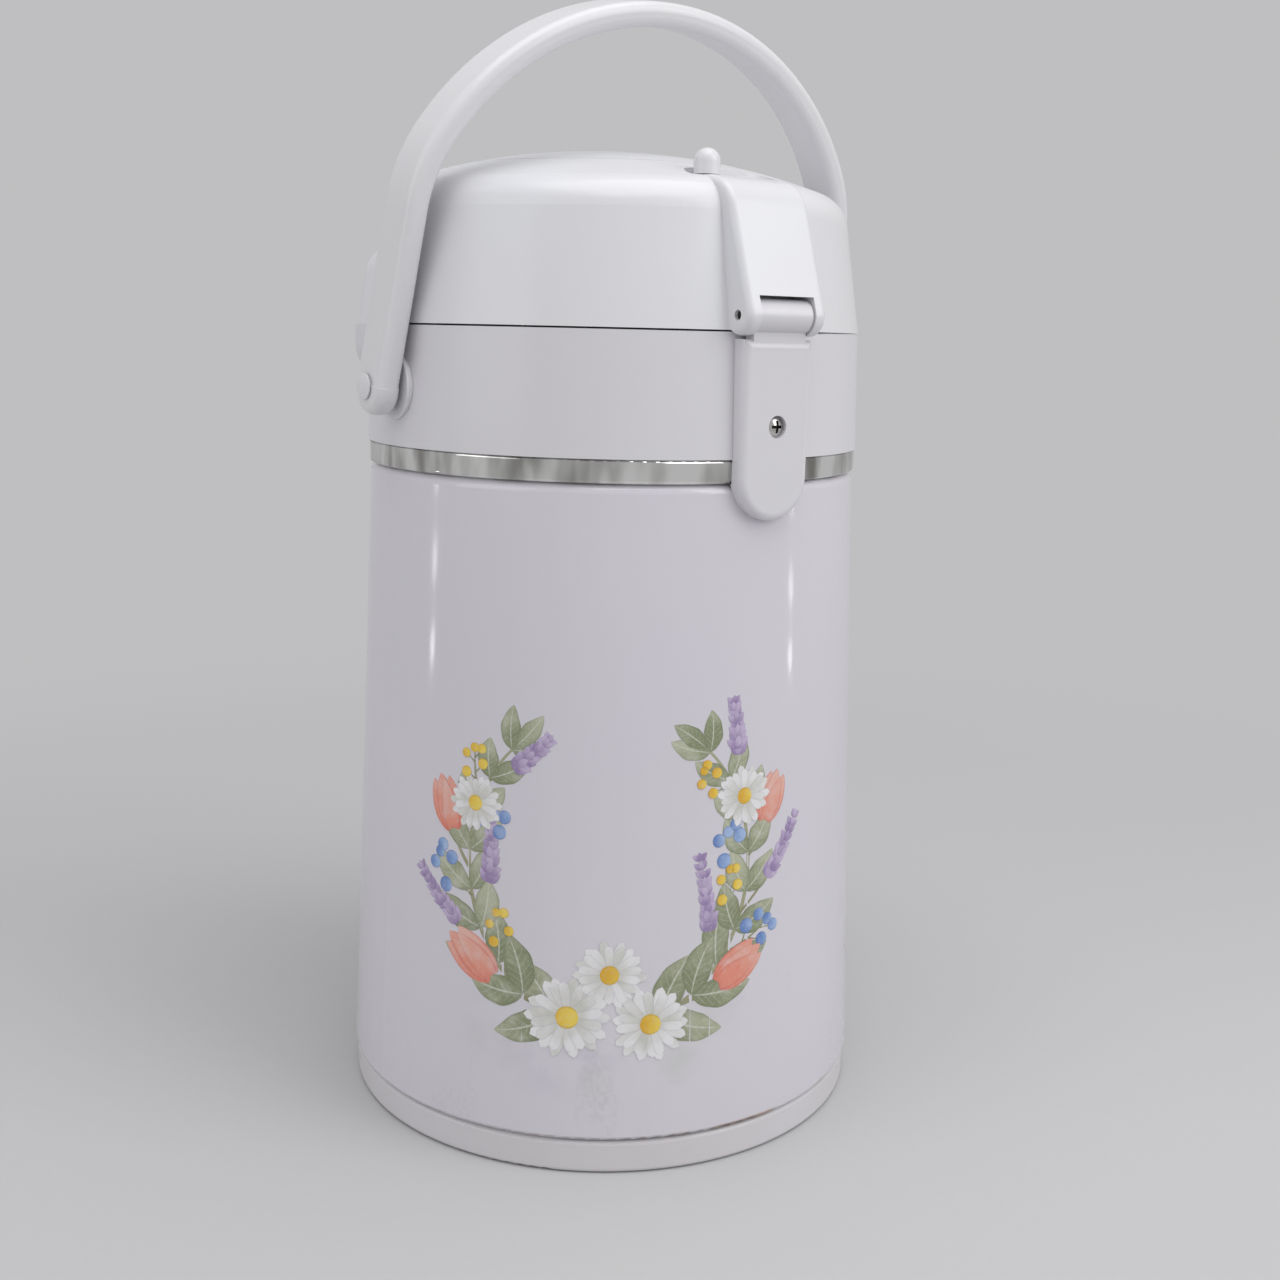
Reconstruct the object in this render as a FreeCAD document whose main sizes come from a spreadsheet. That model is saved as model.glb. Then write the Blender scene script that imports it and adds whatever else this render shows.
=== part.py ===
"""Pump pot: a glass-lined vacuum flask with an air pump in its lid, as a parametric document.

Millimetres, +Z up. The origin is the centre of the foot on the table, the spout points to -Y, the lid's hinge
is at +Y and the handle turns on pins along X.
"""
import FreeCAD, Part
import math
import operator
import os
import types

import Sketcher
from FreeCAD import Placement, Rotation, Vector

SIZES = {
    # foot that the pot turns on
    "foot_radius": 81.8,
    "foot_height": 9.9,
    "foot_wall": 3.0,
    "foot_floor_height": 5.0,
    "foot_floor": 2.0,
    "foot_gap": 0.6,
    "foot_edge": 1.4,
    "pivot_radius": 12.0,
    "pivot_hub_wall": 4.0,
    "washer_radius": 15.5,
    "washer_thickness": 1.5,
    # enamelled case
    "case_height": 189.4,
    "case_radius": 82.5,
    "case_top_radius": 75.4,
    "case_wall": 0.8,
    "case_top_round": 3.0,
    "case_hem": 6.0,
    "case_hem_round": 1.2,
    "case_lip": 4.9,
    # plate that closes the case
    "cover_thickness": 2.5,
    "cover_fit": 0.7,
    "cover_skirt": 8.7,
    "cup_radius": 26.0,
    "cup_wall": 2.5,
    "cup_height": 12.7,
    # vacuum liner
    "flask_radius": 57.0,
    "flask_floor": 38.0,
    "flask_neck": 12.0,
    "flask_shoulder": 22.0,
    "neck_radius": 27.0,
    "glass": 1.6,
    "vacuum_gap": 5.8,
    "vacuum_floor_gap": 8.8,
    "vacuum_shoulder_gap": 6.0,
    "vacuum_neck_gap": 2.0,
    "vacuum_neck_rise": 5.0,
    "lip_drop": 9.0,
    "lip_thickness": 2.0,
    "flask_base_round": 28.0,
    "flask_shoulder_round": 20.0,
    "tip_length": 9.0,
    "tip_radius": 4.0,
    "cushion_bore": 6.0,
    "cushion_fit": 0.2,
    "gasket_thickness": 3.0,
    # chrome band
    "trim_height": 6.6,
    "trim_radius": 75.9,
    "trim_edge": 0.8,
    # collar
    "collar_height": 34.3,
    "collar_radius": 76.2,
    "collar_top_radius": 75.2,
    "collar_wall": 2.4,
    "collar_flange": 2.2,
    "spigot_wall": 2.2,
    "spigot_depth": 9.9,
    "spigot_fit": 0.2,
    "deck_height": 14.5,
    "deck_thickness": 2.4,
    "mouth_fit": 0.2,
    # spout beak: the lid's beak and the slightly wider trough under it
    "beak_half": 34.0,
    "beak_reach": 122.0,
    "beak_corner": 12.0,
    "beak_blend": 20.0,
    "trough_lip": 1.2,
    "beak_root": 60.0,
    "trough_depth": 20.8,
    "trough_round": 14.0,
    # water path
    "stopper_flange": 34.0,
    "stopper_flange_thickness": 2.5,
    "stopper_depth": 18.0,
    "stopper_fit": 0.4,
    "stopper_wall": 2.0,
    "stopper_roof": 4.0,
    "seal_height": 3.0,
    "seal_drop": 12.0,
    "seal_depth": 2.0,
    "tube_gap": 1.6,
    "tube_radius": 5.0,
    "tube_wall": 1.0,
    "tube_foot_gap": 4.0,
    "pipe_radius": 5.5,
    "pipe_wall": 1.2,
    "pipe_rise": 10.7,
    "pipe_bend": 10.0,
    "outlet_reach": 106.0,
    "outlet_drop": 10.0,
    "nozzle_radius": 8.0,
    "nozzle_tip_radius": 6.6,
    "nozzle_length": 15.0,
    "nozzle_lap": 4.0,
    "air_offset": 10.0,
    "air_radius": 5.0,
    # lid
    "lid_gap": 0.5,
    "lid_radius": 75.3,
    "lid_height": 52.5,
    "lid_taper": 8.5,
    "lid_wall": 2.4,
    "lid_edge": 11.0,
    "lid_edge_spare": 7.0,
    "dome_across": 183.0,
    "dome_along": 230.0,
    "dome_forward": 10.0,
    "base_recess": 0.6,
    "base_thickness": 2.2,
    "base_fit": 0.3,
    "duct_radius": 10.0,
    "duct_wall": 3.0,
    "duct_seal_height": 4.0,
    "duct_seal_wall": 5.5,
    "duct_seal_gap": 0.4,
    "valve_radius": 12.5,
    "valve_thickness": 1.2,
    "lid_screw_x": 48.0,
    "lid_screw_y": 26.0,
    "lid_post_radius": 4.0,
    "lid_screw_length": 10.0,
    # pump
    "plate_radius": 43.7,
    "plate_gap": 0.5,
    "plate_skirt_wall": 2.2,
    "plate_skirt": 14.0,
    "plate_boss_radius": 16.0,
    "sleeve_wall": 2.0,
    "sleeve_length": 24.0,
    "bellows_gap": 3.5,
    "bellows_fold": 7.0,
    "bellows_wall": 1.0,
    "bellows_crest_wall": 1.6,
    "bellows_folds": 5,
    "bellows_pitch": 6.6,
    "bellows_top": 1.6,
    "bellows_flange": 1.9,
    "spring_gap": 8.0,
    "spring_wire": 1.8,
    "spring_pitch": 6.0,
    # lock slider in the lid's top
    "lock_post_radius": 3.7,
    "lock_post_height": 7.5,
    "lock_stem_radius": 1.5,
    "lock_offset": 10.0,
    "lock_distance": 57.3,
    "lock_plate_length": 25.0,
    "lock_plate_width": 8.4,
    "lock_plate_thickness": 1.6,
    "lock_plate_depth": 4.4,
    "lock_tab_depth": 6.8,
    "lock_gap": 0.35,
    "trough_half_length": 16.5,
    "trough_half_width": 5.4,
    "trough_sink": 1.3,
    "lock_tab_width": 8.0,
    "lock_tab_thickness": 3.0,
    "lock_tab_reach": 6.5,
    # catch in the front of the beak
    "catch_half": 8.0,
    "catch_height": 9.0,
    "catch_rise": 6.0,
    "catch_proud": 1.2,
    "catch_gap": 0.4,
    "catch_leg": 2.0,
    "catch_leg_half": 6.4,
    "catch_room": 12.0,
    "catch_set_back": 4.0,
    "catch_nose": 2.8,
    "catch_bite": 1.1,
    "keeper_height": 2.5,
    "keeper_drop": 2.3,
    "keeper_depth": 1.6,
    # hinge at the back
    "hinge_distance": 77.4,
    "hinge_rise": 4.4,
    "pin_radius": 1.4,
    "pin_half": 12.6,
    "pin_run": 0.06,
    "knuckle_radius": 4.6,
    "knuckle_half": 9.2,
    "knuckle_side_gap": 0.4,
    "knuckle_gap": 0.7,
    "lug_radius": 5.3,
    "lug_half": 13.7,
    "lug_edge": 2.0,
    "housing_lean": 18.3,
    "housing_shoulder": 29.0,
    "housing_top_round": 11.0,
    "housing_top_slope": 14.0,
    "housing_root": 52.0,
    # bracket that carries the hinge
    "bracket_half": 12.0,
    "bracket_face": 79.5,
    "bracket_length": 49.5,
    "bracket_top_gap": 1.8,
    "bracket_edge": 2.2,
    "bracket_neck": 3.4,
    "bracket_neck_root": 4.4,
    "bracket_depth": 16.0,
    "seat_gap": 0.05,
    "screw_drop": 25.3,
    "screw_head_radius": 2.75,
    "screw_head": 1.7,
    "screw_head_edge": 0.57,
    "recess_arm": 1.7,
    "recess_half": 0.41,
    "recess_depth": 1.0,
    "screw_shank": 1.4,
    "screw_length": 9.0,
    "screw_hole_fit": 0.06,
    "screw_well_fit": 0.35,
    "screw_boss": 4.0,
    # handle and its pivots
    "handle_pivot_rise": 17.0,
    "handle_lean": 11.8,
    "handle_foot_half": 81.5,
    "handle_leg_half": 77.2,
    "handle_leg": 50.0,
    "handle_rise": 109.0,
    "handle_shoulder": 45.0,
    "handle_width": 16.0,
    "handle_thickness": 7.0,
    "handle_edge": 2.8,
    "handle_end_lap": 1.0,
    "handle_end_proud": 0.2,
    "pivot_pin_radius": 2.8,
    "pivot_pin_cap": 3.7,
    "pivot_pin_cap_height": 0.9,
    "pivot_pin_end": 1.0,
    "pivot_run": 0.06,
    "bush_flange": 9.5,
    "bush_flange_thickness": 1.1,
    "bush_barrel": 6.0,
    "bush_depth": 6.5,
    "clip_radius": 6.5,
    "clip_thickness": 1.2,
    "run_gap": 0.3,
    "overcut": 1.0,
}

doc = FreeCAD.newDocument("PumpPot")
sheet = doc.addObject("Spreadsheet::Sheet", "Sizes")
for row, (alias, number) in enumerate(SIZES.items(), start=1):
    sheet.set(f"A{row}", alias)
    sheet.set(f"B{row}", str(number))
    sheet.setAlias(f"B{row}", alias)
doc.recompute()


class Dim:
    """A length that is known both as a number and as the sheet's expression for it."""

    def __init__(self, value, text):
        self.value = value
        self.text = text

    def __add__(self, other):
        return joined(self, "+", other)

    def __radd__(self, other):
        return joined(other, "+", self)

    def __sub__(self, other):
        return joined(self, "-", other)

    def __rsub__(self, other):
        return joined(other, "-", self)

    def __mul__(self, other):
        return joined(self, "*", other)

    def __rmul__(self, other):
        return joined(other, "*", self)

    def __truediv__(self, other):
        return joined(self, "/", other)

    def __neg__(self):
        return joined(0, "-", self)


SIGNS = {"+": operator.add, "-": operator.sub, "*": operator.mul, "/": operator.truediv}


def as_dim(number):
    return number if isinstance(number, Dim) else Dim(float(number), f"({float(number)})")


def joined(left, sign, right):
    left, right = as_dim(left), as_dim(right)
    return Dim(SIGNS[sign](left.value, right.value), f"({left.text} {sign} {right.text})")


def root(dim):
    return Dim(math.sqrt(dim.value), f"sqrt({dim.text})")


def sine(degrees):
    return Dim(math.sin(math.radians(degrees.value)), f"sin({degrees.text} * 1 deg)")


def cosine(degrees):
    return Dim(math.cos(math.radians(degrees.value)), f"cos({degrees.text} * 1 deg)")


def least(first, second):
    return Dim(min(first.value, second.value), f"min({first.text}; {second.text})")


def tangent(degrees):
    return Dim(math.tan(math.radians(degrees.value)), f"tan({degrees.text} * 1 deg)")


size = types.SimpleNamespace(**{name: Dim(float(value), f"Sizes.{name}") for name, value in SIZES.items()})
subparts = []

# Levels and radii that several pieces share
case_bottom = size.foot_height + size.foot_gap
case_top = case_bottom + size.case_height
collar_bottom = case_top + size.trim_height
collar_top = collar_bottom + size.collar_height
deck_top = collar_bottom + size.deck_height
lid_bottom = collar_top + size.lid_gap
lid_top = lid_bottom + size.lid_height
lip_radius = size.case_top_radius - size.case_lip
collar_inside = size.collar_top_radius - size.collar_wall
cover_bottom = case_bottom + size.case_wall
cover_top = cover_bottom + size.cover_thickness
hinge_height = collar_top + size.hinge_rise
base_bottom = lid_bottom + size.base_recess
base_top = base_bottom + size.base_thickness
stopper_top = deck_top + size.stopper_flange_thickness
pipe_level = stopper_top + size.pipe_rise
lip_height = deck_top - size.lip_drop
pivot_height = collar_bottom + size.handle_pivot_rise
stopper_plug = size.neck_radius - size.stopper_fit
stopper_groove = stopper_plug - size.seal_depth
stopper_hollow = stopper_groove - size.stopper_wall
tube_offset = stopper_hollow - size.tube_radius - size.tube_gap
bellows_radius = size.plate_radius - size.plate_skirt_wall - size.bellows_gap
spring_radius = bellows_radius - size.bellows_fold - size.bellows_wall - size.spring_gap


def bind(thing, path, dim):
    thing.setExpression(path, as_dim(dim).text)


def finish(thing, label):
    """Name a piece, and put it on the list of sub-parts that are written."""
    thing.Label = label
    subparts.append(thing)
    return thing


def place(thing, x=0, y=0, z=0, turn=None):
    """Put a thing at a point worked out from the sheet, turned by a fixed rotation."""
    spot = [as_dim(value) for value in (x, y, z)]
    thing.Placement = Placement(Vector(*[dim.value for dim in spot]), turn or Rotation())
    for axis, dim in zip("xyz", spot):
        bind(thing, f"Placement.Base.{axis}", dim)
    return thing


def new_body(name):
    return doc.addObject("PartDesign::Body", name)


def new_sketch(body, plane, normal_offset=0, up_offset=0):
    """A sketch on one of the body's own planes, moved along its normal and up its own Y."""
    sketch = body.newObject("Sketcher::SketchObject", f"{body.Name}_sketch")
    support = next(item for item in body.Origin.OriginFeatures if item.Role == plane)
    sketch.AttachmentSupport = [(support, "")]
    sketch.MapMode = "FlatFace"
    bind(sketch, "AttachmentOffset.Base.z", normal_offset)
    bind(sketch, "AttachmentOffset.Base.y", up_offset)
    return sketch


def fix_point(sketch, curve, end, x, y):
    """Dimension one end of a curve from the sketch's origin."""
    for kind, dim, axis in (("DistanceX", as_dim(x), -2), ("DistanceY", as_dim(y), -1)):
        if dim.value == 0:
            sketch.addConstraint(Sketcher.Constraint("PointOnObject", curve, end, axis))
            continue
        ends = (-1, 1, curve, end) if dim.value > 0 else (curve, end, -1, 1)
        index = sketch.addConstraint(Sketcher.Constraint(kind, *ends, abs(dim.value)))
        bind(sketch, f"Constraints[{index}]", dim if dim.value > 0 else -dim)


def arc_between(start, end, radius):
    """The short arc from start to end; a positive radius turns anticlockwise."""
    chord = end - start
    half = chord.Length / 2
    side = Vector(-chord.y, chord.x, 0).normalize() * math.copysign(1, radius)
    centre = (start + end) / 2 + side * math.sqrt(max(radius * radius - half * half, 0))
    angles = [math.atan2(p.y - centre.y, p.x - centre.x) for p in (start, end)]
    if radius < 0:
        angles.reverse()
    return Part.ArcOfCircle(Part.Circle(centre, Vector(0, 0, 1), abs(radius)), *angles)


def outline(sketch, steps):
    """Close a profile through its corners. A step is (x, y), or (x, y, radius, turn) for an arc that ends
    there, with a turn of 1 anticlockwise and -1 clockwise."""
    corners = [Vector(as_dim(step[0]).value, as_dim(step[1]).value, 0) for step in steps]
    curves = []
    for index, step in enumerate(steps):
        start, end = corners[index - 1], corners[index]
        if len(step) == 2:
            curve = sketch.addGeometry(Part.LineSegment(start, end))
            curves.append((curve, 1, 2))
            continue
        radius, turn = as_dim(step[2]), step[3]
        curve = sketch.addGeometry(arc_between(start, end, radius.value * turn))
        curves.append((curve, 1, 2) if turn > 0 else (curve, 2, 1))
        row = sketch.addConstraint(Sketcher.Constraint("Radius", curve, radius.value))
        bind(sketch, f"Constraints[{row}]", radius)
    for index, step in enumerate(steps):
        here, after = curves[index], curves[(index + 1) % len(curves)]
        sketch.addConstraint(Sketcher.Constraint("Coincident", here[0], here[2], after[0], after[1]))
        fix_point(sketch, here[0], here[2], step[0], step[1])
    return sketch


def revolve(body, profile):
    turned = body.newObject("PartDesign::Revolution", f"{body.Name}_turned")
    turned.Profile = profile
    turned.ReferenceAxis = (profile, ["V_Axis"])
    turned.Angle = 360
    return turned


def turned_body(name, steps):
    """A body of revolution about its own Z, from a profile of (radius, height) corners."""
    body = new_body(name)
    revolve(body, outline(new_sketch(body, "XZ_Plane"), steps))
    return body


def ring_steps(inner, outer, low, high):
    return [(inner, low), (outer, low), (outer, high), (inner, high)]


def pad(body, profile, length, symmetric=False, taper=None, backwards=False):
    block = body.newObject("PartDesign::Pad", f"{body.Name}_pad")
    block.Profile = profile
    bind(block, "Length", length)
    block.SideType = "Symmetric" if symmetric else "One side"
    block.Reversed = backwards
    if taper is not None:
        bind(block, "TaperAngle", -taper)
    return block


def round_edges(body, radius, chosen):
    """Fillet the edges of the body's newest feature that the test picks."""
    doc.recompute()
    base = body.Tip
    names = [f"Edge{n}" for n, edge in enumerate(base.Shape.Edges, start=1) if chosen(edge)]
    if not names:
        raise RuntimeError(f"{body.Name}: no edge to round")
    rounded = body.newObject("PartDesign::Fillet", f"{body.Name}_round")
    rounded.Base = (base, names)
    bind(rounded, "Radius", radius)
    return rounded


def near(a, b, slack=0.02):
    return abs(a - as_dim(b).value) < slack


def rim(radius, height):
    """A test for the circular edge of this radius at this height."""
    def chosen(edge):
        curve = edge.Curve
        return isinstance(curve, Part.Circle) and near(curve.Radius, radius) and near(curve.Center.z, height)
    return chosen


def cylinder(name, radius, height, x=0, y=0, z=0, turn=None):
    post = doc.addObject("Part::Cylinder", name)
    bind(post, "Radius", radius)
    bind(post, "Height", height)
    return place(post, x, y, z, turn)


def box(name, x, y, z):
    """A box from three pairs of low and high faces."""
    block = doc.addObject("Part::Box", name)
    for side, (low, high) in zip(("Length", "Width", "Height"), (x, y, z)):
        bind(block, side, as_dim(high) - low)
    return place(block, x[0], y[0], z[0])


def fuse(name, *shapes):
    whole = doc.addObject("Part::MultiFuse", name)
    whole.Shapes = list(shapes)
    whole.Refine = True
    return whole


def common(name, first, second):
    shared = doc.addObject("Part::Common", name)
    shared.Base = first
    shared.Tool = second
    return shared


def cut(name, base, *tools):
    rest = doc.addObject("Part::Cut", name)
    rest.Base = base
    rest.Tool = tools[0] if len(tools) == 1 else fuse(f"{name}_tools", *tools)
    rest.Refine = True
    return rest


def crown_radius(half_width, rise):
    """The radius of a dome that rises this much over this half width."""
    return (half_width * half_width + rise * rise) / (2 * rise)


ALONG_X = Rotation(Vector(0, 1, 0), 90)
ALONG_MINUS_X = Rotation(Vector(0, 1, 0), -90)
ALONG_MINUS_Y = Rotation(Vector(1, 0, 0), 90)
UPSIDE_DOWN = Rotation(Vector(1, 0, 0), 180)
ALONG_Y = Rotation(Vector(1, 0, 0), -90)
# degrees of the dome's barrel that are cut, well past the lid's front and back
DOME_SWEEP = 100


def cross_screw(name, length):
    """A pan-head screw along its own Z, with the head's seat at zero and a cross recess in its top."""
    body = new_body(name)
    edge = size.screw_head_edge
    crown = crown_radius(size.screw_head_radius, size.screw_head - edge)
    revolve(body, outline(new_sketch(body, "XZ_Plane"), [
        (0, -length),
        (size.screw_shank, -length),
        (size.screw_shank, 0),
        (size.screw_head_radius, 0),
        (size.screw_head_radius, edge),
        (0, size.screw_head, crown, 1),
    ]))
    arm, slot = size.recess_arm, size.recess_half
    recess = new_sketch(body, "XY_Plane", size.screw_head)
    outline(recess, [
        (arm, -slot), (arm, slot), (slot, slot), (slot, arm), (-slot, arm), (-slot, slot),
        (-arm, slot), (-arm, -slot), (-slot, -slot), (-slot, -arm), (slot, -arm), (slot, -slot),
    ])
    doc.recompute()
    solid_before = body.Shape.Volume
    pocket = body.newObject("PartDesign::Pocket", f"{name}_recess")
    pocket.Profile = recess
    bind(pocket, "Length", size.recess_depth)
    doc.recompute()
    if body.Shape.Volume >= solid_before:
        raise RuntimeError(f"{name}: the cross recess cut nothing")
    return body


def make_foot():
    """The foot ring, the plate that closes the case above it, and what holds the two together."""
    bore = size.pivot_radius + size.pivot_run
    hub = bore + size.pivot_hub_wall
    hub_top = cover_bottom - size.run_gap
    inside = size.foot_radius - size.foot_wall
    floor = size.foot_floor_height
    foot = turned_body("base_foot", [
        (bore, floor), (inside, floor), (inside, 0), (size.foot_radius, 0),
        (size.foot_radius, size.foot_height), (inside, size.foot_height), (inside, floor + size.foot_floor),
        (hub, floor + size.foot_floor), (hub, hub_top), (bore, hub_top),
    ])
    round_edges(foot, size.foot_edge, rim(size.foot_radius, 0))
    round_edges(foot, size.foot_edge, rim(size.foot_radius, size.foot_height))
    finish(foot, "base_foot")

    boss_end = floor - size.run_gap
    pilot = size.screw_shank + size.screw_hole_fit
    skirt_outside = size.case_radius - size.case_wall - size.cover_fit
    skirt_inside = skirt_outside - size.cover_thickness
    cup_outside = size.cup_radius + size.cup_wall
    cup_top = cover_bottom + size.cup_height
    finish(turned_body("bottom_cover", [
        (pilot, boss_end), (size.pivot_radius, boss_end), (size.pivot_radius, cover_bottom),
        (skirt_outside, cover_bottom), (skirt_outside, cover_bottom + size.cover_skirt),
        (skirt_inside, cover_bottom + size.cover_skirt), (skirt_inside, cover_top), (cup_outside, cover_top),
        (cup_outside, cup_top), (size.cup_radius, cup_top), (size.cup_radius, cover_top), (pilot, cover_top),
    ]), "bottom_cover")

    washer_low = boss_end - size.washer_thickness
    washer = ring_steps(pilot, size.washer_radius, washer_low, boss_end)
    finish(turned_body("foot_washer", washer), "foot_washer")
    screw = cross_screw("foot_screw", size.screw_length)
    place(screw, z=washer_low, turn=UPSIDE_DOWN)
    finish(screw, "foot_screw")


def make_case():
    """The enamelled steel body: a tapered tube with a hem below and a rounded lip above."""
    wall = size.case_wall
    hem = size.case_radius - size.case_hem
    case = turned_body("outer_case", [
        (hem, case_bottom), (size.case_radius, case_bottom), (size.case_top_radius, case_top),
        (lip_radius, case_top), (lip_radius, case_top - wall), (size.case_top_radius - wall, case_top - wall),
        (size.case_radius - wall, case_bottom + wall), (hem, case_bottom + wall),
    ])
    round_edges(case, size.case_top_round, rim(size.case_top_radius, case_top))
    round_edges(case, size.case_top_round - wall, rim(size.case_top_radius - wall, case_top - wall))
    round_edges(case, size.case_hem_round, rim(size.case_radius, case_bottom))
    finish(case, "outer_case")

    trim = turned_body("trim_ring", ring_steps(lip_radius, size.trim_radius, case_top, collar_bottom))
    round_edges(trim, size.trim_edge, rim(size.trim_radius, case_top))
    round_edges(trim, size.trim_edge, rim(size.trim_radius, collar_bottom))
    finish(trim, "trim_ring")


def make_liner():
    """The vacuum liner's two glass walls, which meet at the lip, and the rubber that it sits between."""
    glass = size.glass
    inside, neck = size.flask_radius, size.neck_radius
    floor, neck_low = size.flask_floor, lip_height - size.flask_neck
    side_top = neck_low - size.flask_shoulder
    lip_low = lip_height - size.lip_thickness
    outer_neck = neck + glass + size.vacuum_neck_gap
    lip_outside = outer_neck + glass
    flask = turned_body("inner_flask", [
        (0, floor - glass), (inside + glass, floor - glass), (inside + glass, side_top + glass / 2),
        (neck + glass, neck_low + glass / 2), (neck + glass, lip_low), (lip_outside, lip_low),
        (lip_outside, lip_height), (neck, lip_height), (neck, neck_low), (inside, side_top),
        (inside, floor), (0, floor),
    ])
    round_edges(flask, size.flask_base_round, rim(inside, floor))
    round_edges(flask, size.flask_base_round + glass, rim(inside + glass, floor - glass))
    round_edges(flask, size.flask_shoulder_round, rim(inside, side_top))
    round_edges(flask, size.flask_shoulder_round + glass, rim(inside + glass, side_top + glass / 2))
    finish(flask, "inner_flask")

    wide = inside + glass + size.vacuum_gap
    low = floor - glass - size.vacuum_floor_gap
    bottom = low - glass
    tip_low = bottom - size.tip_length
    shoulder = side_top + size.vacuum_shoulder_gap
    outer_neck_low = neck_low + size.vacuum_neck_rise
    jacket = turned_body("outer_flask", [
        (0, tip_low), (size.tip_radius / 2, tip_low), (size.tip_radius, bottom), (wide + glass, bottom),
        (wide + glass, shoulder + glass / 2), (lip_outside, outer_neck_low + glass / 2),
        (lip_outside, lip_low), (outer_neck, lip_low), (outer_neck, outer_neck_low), (wide, shoulder),
        (wide, low), (0, low),
    ])
    round_edges(jacket, size.flask_base_round, rim(wide, low))
    round_edges(jacket, size.flask_base_round + glass, rim(wide + glass, bottom))
    round_edges(jacket, size.flask_shoulder_round, rim(wide, shoulder))
    round_edges(jacket, size.flask_shoulder_round + glass, rim(wide + glass, shoulder + glass / 2))
    finish(jacket, "outer_flask")

    cushion = ring_steps(size.cushion_bore, size.cup_radius - size.cushion_fit, cover_top, bottom)
    finish(turned_body("liner_cushion", cushion), "liner_cushion")
    gasket_top = lip_height + size.gasket_thickness
    gasket = ring_steps(neck + size.mouth_fit, lip_outside, lip_height, gasket_top)
    finish(turned_body("neck_gasket", gasket), "neck_gasket")
    return lip_outside, gasket_top


def head_outline(sketch, outset):
    """The lid's plan: a circle with a square-ended beak to the front, every edge moved out by outset."""
    radius, half = size.lid_radius + outset, size.beak_half + outset
    reach, corner, blend = size.beak_reach + outset, size.beak_corner + outset, size.beak_blend - outset
    across = half + blend
    along = root((radius + blend) * (radius + blend) - across * across)
    share = radius / (radius + blend)
    steps = [
        (half - corner, -reach),
        (half, corner - reach, corner, 1),
        (half, -along),
        (across * share, -along * share, blend, -1),
        (0, radius, radius, 1),
        (-across * share, -along * share, radius, 1),
        (-half, -along, blend, -1),
        (-half, corner - reach),
        (corner - half, -reach, corner, 1),
    ]
    return outline(sketch, steps)


def beak_floor_edge(level):
    """A test for the edges of the beak's floor, which lie forward of the round part."""
    def chosen(edge):
        box_of = edge.BoundBox
        flat = near(box_of.ZMin, level) and near(box_of.ZMax, level)
        return flat and box_of.Center.y < -size.collar_top_radius.value
    return chosen


def trough_block(name, outset, low, high, floor_round):
    """A block in the lid's plan with its beak's lower edges rounded, for the spout trough's two sides."""
    body = new_body(name)
    pad(body, head_outline(new_sketch(body, "XY_Plane", low), outset), high - low)
    round_edges(body, floor_round, beak_floor_edge(low))
    return body


def make_collar(lip_outside, gasket_top):
    """The shoulder piece: wall, deck and mouth turned in one, with the spout trough at its front."""
    spigot = lip_radius - size.spigot_fit
    spigot_inside = spigot - size.spigot_wall
    mouth = size.neck_radius + size.mouth_fit
    deck_low = deck_top - size.deck_thickness
    flange_top = collar_bottom + size.collar_flange
    wall_ring = turned_body("collar_ring", [
        (spigot_inside, case_top - size.spigot_depth), (spigot, case_top - size.spigot_depth),
        (spigot, collar_bottom), (size.collar_radius, collar_bottom), (size.collar_top_radius, collar_top),
        (collar_inside, collar_top), (collar_inside, deck_top), (mouth, deck_top), (mouth, gasket_top),
        (lip_outside, gasket_top), (lip_outside, deck_low), (collar_inside, deck_low),
        (collar_inside, flange_top), (spigot_inside, flange_top),
    ])
    trough_low = collar_top - size.trough_depth
    inset = size.trough_lip - size.collar_wall
    trough = trough_block("trough_outside", size.trough_lip, trough_low, collar_top, size.trough_round)
    over = size.overcut
    root_radius = size.lid_radius + size.trough_lip + over
    ring_bore = cylinder("ring_bore", root_radius, size.trough_depth + 2 * over, z=trough_low - over)
    beak_only = cut("beak_only", trough, ring_bore)
    root_half = size.beak_half + size.trough_lip
    root_block = box("beak_root", (-root_half, root_half), (-root_radius - over, -size.beak_root),
                     (deck_low, collar_top))
    root_in_ring = common("beak_root_in_ring", root_block,
                          cylinder("ring_body", root_radius, size.collar_height, z=collar_bottom))
    hollow = trough_block("trough_inside", inset, trough_low + size.collar_wall, lid_top,
                          size.trough_round - size.collar_wall)
    boss_height = collar_top - size.screw_drop
    screw_boss = cylinder("screw_boss", size.screw_boss, size.screw_length, y=collar_inside + over,
                          z=boss_height, turn=ALONG_MINUS_Y)
    whole = fuse("collar_whole", wall_ring, beak_only, root_in_ring, screw_boss)
    bush_hole = cylinder("bush_hole", size.bush_barrel + size.seat_gap, 4 * size.collar_radius,
                         x=-2 * size.collar_radius, z=pivot_height, turn=ALONG_X)
    pin_room = cylinder("pin_room", size.clip_radius + over, 2 * (collar_inside - over),
                        x=over - collar_inside, z=pivot_height, turn=ALONG_X)
    outlet = cylinder("outlet_hole", size.nozzle_radius + size.seat_gap, size.trough_depth,
                      y=-size.outlet_reach, z=trough_low - over)
    screw_hole = cylinder("bracket_screw_hole", size.screw_shank + size.screw_hole_fit, 3 * size.screw_length,
                          y=size.collar_radius + size.screw_length, z=boss_height, turn=ALONG_MINUS_Y)
    keeper_low = collar_top - size.keeper_drop - size.keeper_height
    front = -(size.beak_reach + inset)
    keeper = box("keeper", (-size.catch_half, size.catch_half),
                 (front - size.seat_gap, front + size.keeper_depth),
                 (keeper_low, keeper_low + size.keeper_height))
    drilled = cut("collar_drilled", whole, hollow, bush_hole, pin_room, outlet, screw_hole)
    finish(fuse("collar", drilled, keeper), "collar")
    return front, keeper_low


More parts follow.
